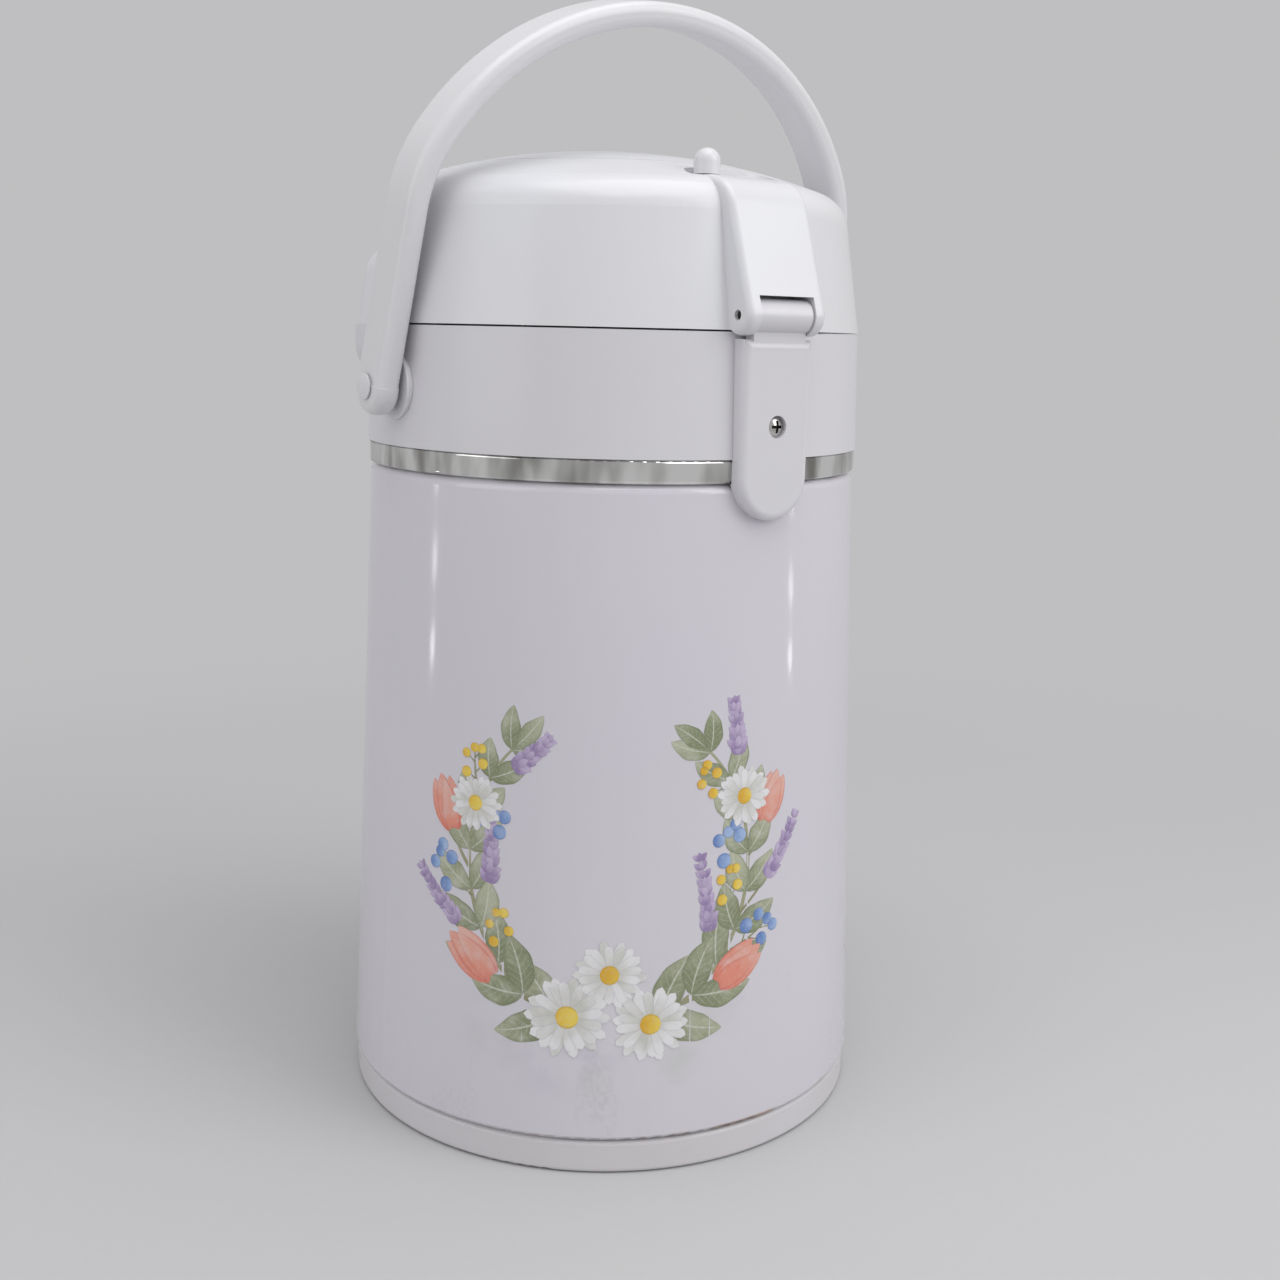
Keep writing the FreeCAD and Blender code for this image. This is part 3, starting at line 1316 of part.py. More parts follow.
failed = [item.Name for item in doc.Objects if "Invalid" in item.State or "Error" in item.State]
if failed:
    raise RuntimeError(f"these objects failed: {failed}")
for item in subparts:
    if item.Shape.isNull() or not item.Shape.isValid() or not item.Shape.Solids:
        raise RuntimeError(f"{item.Label} has no valid solid")

os.makedirs("parts", exist_ok=True)
for item in subparts:
    item.Shape.exportStep(os.path.join("parts", f"{item.Label}.step"))
    extent = item.Shape.BoundBox
    print(f"{item.Label}: {len(item.Shape.Solids)} solid, {item.Shape.Volume:.0f} mm3, "
          f"{extent.XLength:.1f} x {extent.YLength:.1f} x {extent.ZLength:.1f} mm")
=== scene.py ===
# %% [markdown]
# A white pump pot stands on a pale table: an enamelled case with a printed garland, a domed lid with a
# pump in it, and an arched handle. The rigid pieces come ready from the CAD frame, so this lesson gives
# them their finishes, models the soft and wound pieces afresh, prints the case, and sets the light and
# the camera.

# %% Load the frame
import math
import random

import bmesh
import bpy
from mathutils import Euler, Matrix, Vector


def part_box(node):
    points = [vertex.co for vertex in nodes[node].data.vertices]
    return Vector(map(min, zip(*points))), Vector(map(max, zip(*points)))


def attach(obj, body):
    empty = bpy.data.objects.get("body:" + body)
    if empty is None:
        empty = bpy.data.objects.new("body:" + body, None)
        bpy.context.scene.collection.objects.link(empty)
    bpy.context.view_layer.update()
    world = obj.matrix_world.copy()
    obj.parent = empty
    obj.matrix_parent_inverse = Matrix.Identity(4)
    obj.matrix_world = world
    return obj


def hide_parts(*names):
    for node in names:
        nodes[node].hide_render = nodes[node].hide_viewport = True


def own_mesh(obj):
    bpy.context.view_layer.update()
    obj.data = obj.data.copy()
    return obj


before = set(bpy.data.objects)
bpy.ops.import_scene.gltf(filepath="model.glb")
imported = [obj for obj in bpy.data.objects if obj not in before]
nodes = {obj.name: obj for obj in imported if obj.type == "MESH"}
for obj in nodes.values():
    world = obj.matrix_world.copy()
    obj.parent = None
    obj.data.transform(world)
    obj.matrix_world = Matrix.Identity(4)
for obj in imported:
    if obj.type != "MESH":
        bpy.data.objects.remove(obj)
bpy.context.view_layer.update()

# %% [markdown]
# Finishes are built from nodes. Writing them as sums is easier to read than placing nodes by hand, so
# one small class wraps a socket: adding or multiplying two of them adds a Math node. Every other node
# comes from one method, which sets the node up, fills its sockets with numbers or links, and gives back
# the output that was asked for.

# %% A socket that does sums
# a Mix node has sockets of the same name for every type, so its colour ones go by number
MIX_SHARE, MIX_FIRST, MIX_SECOND, MIX_RESULT = 0, 6, 7, 2


class Wire:
    def __init__(self, tree, socket=None):
        self.tree = tree
        self.socket = socket

    def node(self, kind, settings=None, sockets=None, out=0):
        made = self.tree.nodes.new(kind)
        for name, value in (settings or {}).items():
            setattr(made, name, value)
        for name, value in (sockets or {}).items():
            if isinstance(value, Wire):
                self.tree.links.new(value.socket, made.inputs[name])
            else:
                made.inputs[name].default_value = value
        return Wire(self.tree, made.outputs[out])

    def math(self, operation, *values):
        return self.node("ShaderNodeMath", {"operation": operation}, dict(enumerate(values)))

    def __add__(self, other):
        return self.math("ADD", self, other)

    def __sub__(self, other):
        return self.math("SUBTRACT", self, other)

    def __rsub__(self, other):
        return self.math("SUBTRACT", other, self)

    def __mul__(self, other):
        return self.math("MULTIPLY", self, other)

    def __truediv__(self, other):
        return self.math("DIVIDE", self, other)

    def __rtruediv__(self, other):
        return self.math("DIVIDE", other, self)

    def __lt__(self, other):
        return self.math("LESS_THAN", self, other)

    def __gt__(self, other):
        return self.math("GREATER_THAN", self, other)

    __radd__ = __add__
    __rmul__ = __mul__

    def __abs__(self):
        return self.math("ABSOLUTE", self)

    def between(self, low, high):
        """0 below low, 1 above high, and a smooth rise from one to the other."""
        return self.node("ShaderNodeMapRange", {"interpolation_type": "SMOOTHSTEP"},
                         {"Value": self, "From Min": low, "From Max": high})

    def tint(self, first, second):
        """A colour that goes from first to second as this value goes from 0 to 1."""
        ends = {MIX_SHARE: self, MIX_FIRST: colour(first), MIX_SECOND: colour(second)}
        return self.node("ShaderNodeMix", {"data_type": "RGBA"}, ends, MIX_RESULT)


def colour(value):
    return value if isinstance(value, Wire) else (*value, 1.0)


print("ready: sums of sockets")

# %% [markdown]
# Every finish starts from the same place: one Principled shader, whose plain numbers are set on its own
# sockets, and the piece's own coordinates in metres. Noise, specks and streaks are then read at a scale
# in real millimetres.

# %% Start a finish
MM = 0.001


class Finish:
    def __init__(self, name, **numbers):
        self.material = bpy.data.materials.new(name)
        self.material.use_nodes = True
        self.tree = self.material.node_tree
        self.shader = self.tree.nodes["Principled BSDF"]
        for socket, value in numbers.items():
            self.shader.inputs[socket.replace("_", " ")].default_value = value
        self.wire = Wire(self.tree)
        self.place = self.wire.node("ShaderNodeTexCoord", out="Object")

    def split(self, vector):
        parts = self.wire.node("ShaderNodeSeparateXYZ", None, {0: vector})
        return [Wire(self.tree, parts.socket.node.outputs[n]) for n in range(3)]

    def axes(self):
        return self.split(self.place)

    def noise(self, size_mm, detail=3.0, stretch=(1, 1, 1)):
        spot = self.wire.node("ShaderNodeMapping", None, {"Vector": self.place, "Scale": stretch})
        return self.wire.node("ShaderNodeTexNoise", None,
                              {"Vector": spot, "Scale": 1 / (size_mm * MM), "Detail": detail})

    def specks(self, spacing_mm, share, radius):
        """Small round spots in a share of the cells of a random grid, with a radius in cells."""
        sockets = {"Vector": self.place, "Scale": 1 / (spacing_mm * MM)}
        near = self.wire.node("ShaderNodeTexVoronoi", None, sockets)
        cell = Wire(self.tree, near.socket.node.outputs["Color"])
        pick = self.wire.node("ShaderNodeSeparateColor", None, {0: cell})
        size = Wire(self.tree, pick.socket.node.outputs[1])
        return (pick < share) * (1 - (near / (radius * (size + 0.4))).between(0.6, 1.0))

    def bump(self, height, depth_mm, strength):
        return self.wire.node("ShaderNodeBump", None,
                              {"Height": height, "Distance": depth_mm * MM, "Strength": strength})

    def feed(self, **links):
        for socket, value in links.items():
            self.tree.links.new(value.socket, self.shader.inputs[socket.replace("_", " ")])
        return self.material


def dress(material, *names):
    for name in names:
        slots = nodes[name].data.materials
        slots.clear()
        slots.append(material)


print("ready: finishes in millimetres")

# %% [markdown]
# Most of the pot is injection-moulded white plastic. It isn't plain white: it has yellowed in soft
# patches, has a very fine grain, a few dust specks, and a gloss that hands have dulled in places. One
# recipe serves every moulded piece, with its own tint, because the real pieces came from different
# moulds and aged differently.

# %% Moulded white plastic
DUST = (0.27, 0.24, 0.22)


def moulded_white(name, tint, aged, gloss):
    made = Finish(name, IOR=1.49)
    patch, hands, fine = made.noise(70, 2), made.noise(28, 2), made.noise(0.45, 2)
    dust = made.specks(8, 0.06, 0.035)
    hairs = made.noise(3, 3, (1, 1, 0.06)).between(0.66, 0.74) * made.noise(11, 2).between(0.5, 0.7)
    base = patch.between(0.3, 0.7).tint(tint, aged)
    base = (dust * 0.5).tint(base, DUST)
    rough = gloss + hands.between(0.3, 0.8) * 0.05 + fine * 0.02 + hairs * 0.05 + dust * 0.2
    return made.feed(Base_Color=base, Roughness=rough, Normal=made.bump(fine, 0.01, 0.06))


lid_white = moulded_white("lid_white", (0.70, 0.705, 0.735), (0.69, 0.685, 0.705), 0.2)
collar_white = moulded_white("collar_white", (0.665, 0.655, 0.69), (0.655, 0.64, 0.665), 0.2)
handle_white = moulded_white("handle_white", (0.705, 0.70, 0.725), (0.69, 0.68, 0.695), 0.18)
foot_white = moulded_white("foot_white", (0.65, 0.635, 0.66), (0.63, 0.61, 0.625), 0.26)
dress(lid_white, "lid_shell", "push_plate", "lock_slider", "lid_catch")
dress(collar_white, "collar", "hinge_bracket", "nozzle")
dress(handle_white, "handle", "pivot_pin_left", "pivot_pin_right", "pivot_bush_left", "pivot_bush_right")
dress(foot_white, "base_foot", "bottom_cover")
print("white plastics: 4")

# %% [markdown]
# The case is pressed steel under gloss enamel, a little more lilac than the plastics. Sprayed enamel
# has a faint orange-peel ripple. It also has dark specks, a few fine scuffs, one rusty chip and, at the
# lower hem, a thin brown line where water got under the edge. Where the print will go, thin washes of
# paint cloud the white.

# %% Enamel on the case
CASE_LOW, CASE_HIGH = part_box("outer_case")
HEM_LINE = CASE_LOW.z + 0.6 * MM
PRINT_AZIMUTH = math.radians(56.5)
WASH_HEIGHT, WASH_TALL, WASH_TURN = 44 * MM, 26 * MM, math.radians(38)
CHIP_AZIMUTH, CHIP_HEIGHT, CHIP_RADIUS = math.radians(131), 46 * MM, 1.5 * MM
HEM_TALL, HEM_TURN = 1.1 * MM, (0.9, 1.3)
SCUFF_HEIGHT = (20 * MM, 75 * MM)
WASH_SAGE, WASH_LILAC = (0.47, 0.49, 0.42), (0.52, 0.46, 0.58)
SPECK_BROWN, SCUFF_GREY = (0.16, 0.13, 0.12), (0.48, 0.45, 0.49)
HEM_BROWN, RUST_BROWN = (0.30, 0.17, 0.07), (0.09, 0.055, 0.035)


def enamel_gloss(made):
    ripple = made.noise(2.4, 1)
    haze = made.noise(34, 3)
    return 0.09 + haze.between(0.4, 0.8) * 0.05, made.bump(ripple, 0.02, 0.09)


def case_enamel():
    made = Finish("case_enamel", IOR=1.55)
    across, along, up = made.axes()
    around = made.wire.math("ARCTAN2", along, across)
    base = made.noise(90, 2).between(0.3, 0.7).tint((0.635, 0.612, 0.668), (0.65, 0.628, 0.672))
    wide, tall = (around - PRINT_AZIMUTH) / WASH_TURN, (up - WASH_HEIGHT) / WASH_TALL
    wash = (1 - (wide * wide + tall * tall).between(0.05, 1.0)) * made.noise(15, 4).between(0.42, 0.68)
    paint = made.noise(26, 1).between(0.42, 0.58).tint(WASH_SAGE, WASH_LILAC)
    base = (wash * 0.42).tint(base, paint)
    specks = made.specks(17, 0.06, 0.032)
    base = (specks * 0.75).tint(base, SPECK_BROWN)
    streak = made.noise(9, 4, (1, 1, 0.25)).between(0.6, 0.7)
    scuffs = streak * made.noise(1.2, 3).between(0.48, 0.62) * (1 - up.between(*SCUFF_HEIGHT))
    base = (scuffs * 0.4).tint(base, SCUFF_GREY)
    hem = (1 - up.between(HEM_LINE, HEM_LINE + HEM_TALL)) * made.noise(17, 3).between(0.46, 0.62)
    hem = hem * (0.35 + 0.65 * around.between(*HEM_TURN))
    chip_across, chip_up = (around - CHIP_AZIMUTH) * CASE_HIGH.x, up - CHIP_HEIGHT
    chip = made.wire.math("SQRT", chip_across * chip_across + chip_up * chip_up) + made.noise(1.1, 2) * MM
    rust = 1 - chip.between(CHIP_RADIUS * 0.8, CHIP_RADIUS * 1.25)
    base = (hem * 0.8).tint(base, HEM_BROWN)
    base = (rust * 0.9).tint(base, RUST_BROWN)
    rough, ripple = enamel_gloss(made)
    return made.feed(Base_Color=base, Roughness=rough + (scuffs + hem + rust) * 0.3, Normal=ripple)


dress(case_enamel(), "outer_case")
print("enamel from", round(CASE_LOW.z, 4), "to", round(CASE_HIGH.z, 4), "m")

# %% [markdown]
# The band between case and collar is bright chrome. Its colour has dark clouds stretched upright, which
# are painted reflection of the room round it. Polishing leaves fine lines round the ring, so noise that
# is squeezed along the axis gives streaks in the gloss. The clips and the washer are plainer steel,
# a little dulled in clouds, and the hinge pin, which shows only its end, is dark steel, painted nearly
# black as painted shade deep in its hole.

# %% Chrome and steel
TARNISH = (0.2, 0.17, 0.14)


def bright_metal(name, tint, dull_and_painted_reflection, gloss, streak, line_mm):
    made = Finish(name, Metallic=1.0)
    lines = made.noise(line_mm, 2, (0.08, 0.08, 1))
    cloud = made.noise(15, 3, (1, 1, 0.3))
    spots = made.specks(4, 0.04, 0.05)
    # for the chrome these dark clouds are painted reflection; for the plainer steels they are a little
    # dulling
    base = cloud.between(0.36, 0.64).tint(tint, dull_and_painted_reflection)
    base = (spots * 0.6).tint(base, TARNISH)
    rough = gloss + lines * streak + cloud.between(0.5, 0.75) * 0.03 + spots * 0.3
    return made.feed(Base_Color=base, Roughness=rough, Normal=made.bump(lines, 0.01, 0.05))


# the chrome's dark second colour paints reflection into it in upright clouds
trim_chrome = bright_metal("trim_chrome", (0.82, 0.82, 0.80), (0.27, 0.265, 0.245), 0.03, 0.03, 0.35)
plain_steel = bright_metal("plain_steel", (0.60, 0.59, 0.57), (0.48, 0.47, 0.45), 0.2, 0.12, 0.3)
# the hinge pin is painted nearly black: dark steel plus painted shade for its end deep in its hole
dark_steel = bright_metal("dark_steel", (0.07, 0.065, 0.06), (0.04, 0.036, 0.033), 0.35, 0.12, 0.3)
dress(trim_chrome, "trim_ring")
dress(plain_steel, "foot_washer", "pivot_clip_left", "pivot_clip_right")
dress(dark_steel, "hinge_pin")
print("metals: 3")

# %% [markdown]
# The cross recess of a screw is painted nearly black, as painted shade in the hollow. A point is in the
# recess if it lies close to the screw's axis and some way below the crown of the head. The bracket's screw
# points along Y. The others point up from below, and the four in the lid stand in mirror places, so
# absolute values fold them onto one.

# %% Cross-head screws
RECESS_REACH, RECESS_TOP = 1.76 * MM, 0.42 * MM
LID_SCREW_SPOT = (48 * MM, 26 * MM)
SCREW_CLEAN, SCREW_GRIME, RECESS_PAINTED_SHADE = (0.60, 0.59, 0.57), (0.40, 0.38, 0.35), (0.03, 0.026, 0.022)


def screw_steel(node, depth_axis, spot):
    made = Finish(node + "_steel", Metallic=1.0)
    x, y, z = made.axes()
    low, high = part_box(node)
    depth = high.y - y if depth_axis == "Y" else z - low.z
    aside, beside = abs(x) - spot[0], (z if depth_axis == "Y" else abs(y)) - spot[1]
    axis_gap = made.wire.math("SQRT", aside * aside + beside * beside)
    recess = (axis_gap < RECESS_REACH) * depth.between(RECESS_TOP, RECESS_TOP * 1.3)
    grime = made.noise(1.4, 4).between(0.5, 0.7)
    base = grime.tint(SCREW_CLEAN, SCREW_GRIME)
    # painted shade: the cross recess is darkened nearly to black
    base = recess.tint(base, RECESS_PAINTED_SHADE)
    return made.feed(Base_Color=base, Roughness=0.2 + grime * 0.15 + recess * 0.4,
                     Normal=made.bump(made.noise(0.3, 2), 0.02, 0.12))


screw_low, screw_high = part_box("bracket_screw")
dress(screw_steel("bracket_screw", "Y", (0.0, (screw_low.z + screw_high.z) / 2)), "bracket_screw")
dress(screw_steel("lid_screws", "Z", LID_SCREW_SPOT), "lid_screws")
dress(screw_steel("foot_screw", "Z", (0.0, 0.0)), "foot_screw")
print("screws: 3 finishes")

# %% [markdown]
# Inside, the liner is glass that is silvered on its hidden faces, and the pieces that touch water are
# unpainted polypropylene, cream and a little waxy.


# %% Liner and inner plastics
def silvered_glass():
    made = Finish("silvered_glass", Metallic=1.0, Coat_Weight=1.0, Coat_Roughness=0.02)
    wave = made.noise(22, 2)
    base = wave.between(0.3, 0.7).tint((0.80, 0.80, 0.79), (0.72, 0.72, 0.70))
    rough = 0.06 + made.noise(3, 3) * 0.06
    return made.feed(Base_Color=base, Roughness=rough, Normal=made.bump(wave, 0.2, 0.15))


def inner_plastic():
    made = Finish("inner_plastic", IOR=1.49, Subsurface_Weight=0.08, Subsurface_Radius=(0.002, 0.002, 0.0015))
    scale = made.noise(11, 5)
    base = scale.between(0.4, 0.75).tint((0.70, 0.695, 0.675), (0.65, 0.635, 0.595))
    rough = 0.34 + scale * 0.12
    return made.feed(Base_Color=base, Roughness=rough, Normal=made.bump(made.noise(0.6, 2), 0.03, 0.12))


dress(silvered_glass(), "inner_flask", "outer_flask")
dress(inner_plastic(), "mouth_stopper", "dip_tube", "pour_pipe", "lid_base")
print("inner finishes: 2")

# %% [markdown]
# The seals, the cushion under the liner, the valve flap and the pump's bellows are rubber. The CAD has
# plain solids for them. Each one is turned again here from a rounded profile: a profile is a closed
# line of radius and height, and turning it round an upright axis makes the ring. That keeps the mesh
# even and closed.

# %% Turn a profile into a ring
TURN_STEPS = 96
SAME_POINT = 1e-6


def turned(name, profile, centre=(0.0, 0.0)):
    points, faces = [], []
    for turn in range(TURN_STEPS):
        angle = 2 * math.pi * turn / TURN_STEPS
        points += [(centre[0] + r * math.cos(angle), centre[1] + r * math.sin(angle), z) for r, z in profile]
    count = len(profile)
    for turn in range(TURN_STEPS):
        here, there = turn * count, (turn + 1) % TURN_STEPS * count
        for n in range(count):
            ahead = (n + 1) % count
            faces.append((here + n, there + n, there + ahead, here + ahead))
    ring = new_piece(name, points, faces)
    close_axis(ring.data)
    return ring


def close_axis(mesh):
    """Points on the axis, one for every step of the turn, become one point each."""
    shape = bmesh.new()
    shape.from_mesh(mesh)
    bmesh.ops.remove_doubles(shape, verts=shape.verts, dist=SAME_POINT)
    bmesh.ops.dissolve_degenerate(shape, edges=shape.edges, dist=SAME_POINT)
    bmesh.ops.recalc_face_normals(shape, faces=shape.faces)
    shape.to_mesh(mesh)
    shape.free()


def new_piece(name, points, faces):
    mesh = bpy.data.meshes.new(name)
    mesh.from_pydata(points, [], faces)
    mesh.polygons.foreach_set("use_smooth", [True] * len(mesh.polygons))
    mesh.validate()
    piece = bpy.data.objects.new(name, mesh)
    bpy.context.scene.collection.objects.link(piece)
    return piece


print("ready: turned rings")

# %% [markdown]
# A moulded seal has no sharp edges. Its profile is a rectangle whose four corners are quarter circles,
# and walking round them in order closes the line.

# %% A profile with round corners
CORNER_STEPS = 6


def soft_ring(inside, outside, low, high, corner):
    """The closed profile of a ring of rectangular section with round corners."""
    corners = [(outside - corner, low + corner, -90), (outside - corner, high - corner, 0),
               (inside + corner, high - corner, 90), (inside + corner, low + corner, 180)]
    profile = []
    for r, z, start in corners:
        for step in range(CORNER_STEPS + 1):
            angle = math.radians(start + 90 * step / CORNER_STEPS)
            profile.append((r + corner * math.cos(angle), z + corner * math.sin(angle)))
    return profile


print("ready: round corners")

# %% [markdown]
# Rubber is matt, picks up dust and bleaches in patches. Two mixes are used: pale grey silicone for the
# seals and a cream rubber for the bellows.


# %% Rubber
def rubber(name, tint, bleached, gloss):
    made = Finish(name, IOR=1.45)
    patch = made.noise(9, 4)
    fine = made.noise(0.35, 2)
    base = patch.between(0.4, 0.72).tint(tint, bleached)
    return made.feed(Base_Color=base, Roughness=gloss + fine * 0.12, Normal=made.bump(fine, 0.04, 0.2))


seal_rubber = rubber("seal_rubber", (0.52, 0.51, 0.49), (0.60, 0.59, 0.57), 0.5)
bellows_rubber = rubber("bellows_rubber", (0.60, 0.585, 0.52), (0.66, 0.65, 0.60), 0.55)
print("rubbers: 2")

# %% [markdown]
# Each ring takes its outside and its height from the CAD solid's box, so that it stays where that is. A
# bore can't be read from a box, so it is named here. The valve flap has no bore and is a flat disc with
# a soft rim.

# %% Seals, cushion and valve flap
# node, radius of the bore and of the rounded corners in mm, body
SEALS = (("neck_gasket", 27.2, 0.9, "pot"), ("liner_cushion", 6.0, 1.6, "pot"),
         ("stopper_seal", 24.65, 0.8, "pot"), ("lid_gasket", 10.0, 1.2, "lid"),
         ("air_valve", 0.0, 0.5, "lid"))


def add_seal(name, bore_mm, corner_mm, body):
    low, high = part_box(name)
    middle = (low + high) / 2
    profile = soft_ring(bore_mm * MM, (high.x - low.x) / 2, low.z, high.z, corner_mm * MM)
    if bore_mm == 0:
        profile = [(0.0, low.z)] + profile[:2 * (CORNER_STEPS + 1)] + [(0.0, high.z)]
    ring = turned(name + "_soft", profile, (middle.x, middle.y))
    stand_for(ring, name, seal_rubber, body)


def stand_for(piece, node, material, body):
    piece.data.materials.append(material)
    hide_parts(node)
    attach(piece, body)


for seal in SEALS:
    add_seal(*seal)
print("seals:", len(SEALS))

# %% [markdown]
# The bellows is the pump's lung. Its wall runs up in five round folds between a flange and a closed
# top. A cosine of the height gives the folds, and a second one inside it keeps the wall an even
# thickness. Pressing the plate squeezes it flat towards its flange.

# %% Bellows
BELLOWS_FOLDS = 5
FOLD_STEPS = 14
FOLD_OUT, FOLD_IN, RUBBER_WALL = 38 * MM, 31 * MM, 1.1 * MM
FLANGE_THICK, FLANGE_BEVEL, TOP_THICK, TOP_ROUND = 1.9 * MM, 0.5 * MM, 1.6 * MM, 1.4 * MM
bellows_low, bellows_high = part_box("bellows")
FOLDS_LOW, FOLDS_HIGH = bellows_low.z + FLANGE_THICK, bellows_high.z - TOP_THICK


def fold_line(inset):
    line = []
    for step in range(BELLOWS_FOLDS * FOLD_STEPS + 1):
        turn = 2 * math.pi * step / FOLD_STEPS
        middle, swing = (FOLD_OUT + FOLD_IN) / 2, (FOLD_OUT - FOLD_IN) / 2
        height = FOLDS_LOW + (FOLDS_HIGH - FOLDS_LOW) * step / (BELLOWS_FOLDS * FOLD_STEPS)
        line.append((middle - swing * math.cos(turn) - inset, height))
    return line


def add_bellows():
    rim, bevel = FOLD_OUT + RUBBER_WALL, FLANGE_BEVEL
    profile = [(FOLD_IN - RUBBER_WALL, bellows_low.z), (rim - bevel, bellows_low.z)]
    profile += [(rim, bellows_low.z + bevel), (rim, FOLDS_LOW - bevel), (rim - bevel, FOLDS_LOW)]
    profile += fold_line(0.0)
    profile += [(FOLD_IN - 0.4 * MM, bellows_high.z - 0.4 * MM), (FOLD_IN - TOP_ROUND, bellows_high.z)]
    profile += [(0.0, bellows_high.z), (0.0, FOLDS_HIGH)]
    profile += reversed(fold_line(RUBBER_WALL))
    bellows = turned("bellows_folds", profile)
    stand_for(bellows, "bellows", bellows_rubber, "lid")
    return bellows


bellows = add_bellows()
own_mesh(bellows)

# %% [markdown]
# The return spring stands inside the bellows. It is a wire swept along a helix, and its two end turns
# lie flat, as on a ground spring, so the climb eases out at both ends.

# %% Return spring
SPRING_RADIUS, WIRE_RADIUS, SPRING_TURNS = 22 * MM, 0.9 * MM, 6.5
STEPS_PER_TURN, WIRE_STEPS = 48, 12
FLAT_TURNS, FLAT_CLIMB = 0.75, 0.03
spring_low, spring_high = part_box("return_spring")


def spring_spot(step, steps):
    share = step / steps
    flat = FLAT_TURNS / SPRING_TURNS
    climb = min(max((share - flat) / (1 - 2 * flat), 0.0), 1.0)
    climb = FLAT_CLIMB * share + (1 - FLAT_CLIMB) * climb * climb * (3 - 2 * climb)
    angle = 2 * math.pi * SPRING_TURNS * share
    span = spring_high.z - spring_low.z - 2 * WIRE_RADIUS
    return Vector((SPRING_RADIUS * math.cos(angle), SPRING_RADIUS * math.sin(angle),
                   spring_low.z + WIRE_RADIUS + span * climb))


def add_spring():
    steps = int(SPRING_TURNS * STEPS_PER_TURN)
    points, faces = [], []
    for step in range(steps + 1):
        spot = spring_spot(step, steps)
        outward = Vector((spot.x, spot.y, 0)).normalized()
        for turn in range(WIRE_STEPS):
            angle = 2 * math.pi * turn / WIRE_STEPS
            points.append(spot + WIRE_RADIUS * (outward * math.cos(angle) + Vector((0, 0, math.sin(angle)))))
    for step in range(steps):
        here, there = step * WIRE_STEPS, (step + 1) * WIRE_STEPS
        faces += [(here + n, here + (n + 1) % WIRE_STEPS, there + (n + 1) % WIRE_STEPS, there + n)
                  for n in range(WIRE_STEPS)]
    faces += [tuple(reversed(range(WIRE_STEPS))), tuple(steps * WIRE_STEPS + n for n in range(WIRE_STEPS))]
    return new_piece("return_spring_wire", points, faces)


spring = add_spring()
spring_steel = bright_metal("spring_steel", (0.52, 0.52, 0.51), (0.42, 0.42, 0.41), 0.22, 0.1, 0.4)
stand_for(spring, "return_spring", spring_steel, "lid")
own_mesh(spring)

# %% [markdown]
# The case carries a printed garland in soft colours: sage leaves, coral tulips, white daisies, lilac
# lavender, yellow buds and blue berries. On a real pot it is a transfer that is fired on, so it follows
# the case and is only a tenth of a millimetre or so thick. A picture could be painted by shader maths,
# but hundreds of petals would make a slow material. So each petal is a thin closed stroke that is bent
# round the case, and it remembers where along and across itself each point lies, for the shading of the
# paint. Strokes that cross lie on different levels, and their rims are sharp, because a smoothed rim
# would make the flat print look embossed.

# %% Put a flat drawing on the case
CASE_TOP_RADIUS = 75.4 * MM


def on_case(x, y, lift):
    """x and y of the drawing and the height over the enamel, in mm, as a point in metres."""
    share = (y * MM - CASE_LOW.z) / (CASE_HIGH.z - CASE_LOW.z)
    radius = CASE_HIGH.x + (CASE_TOP_RADIUS - CASE_HIGH.x) * share
    angle = PRINT_AZIMUTH + x * MM / radius
    radius += lift * MM
    return (radius * math.cos(angle), radius * math.sin(angle), y * MM)


print("case radius:", round(CASE_HIGH.x, 4), "to", CASE_TOP_RADIUS, "m")

# %% [markdown]
# All strokes of one paint go into one mesh, which is quicker than an object for each. A stroke is a
# strip of small faces along its spine, with a lower side just under the enamel and a rim that joins the
# two, so that the mesh is closed. Each stroke also draws a random tone, which the paint reads later.

# %% Strokes of one paint
# heights over the enamel in mm: the hidden underside of every stroke, and from one level to the next
PRINT_ROOT, LEVEL_STEP = -0.12, 0.004
# half of the least width of a stroke in mm
NARROWEST = 0.02
RIM_ANGLE = math.radians(40)
dice = random.Random(20)


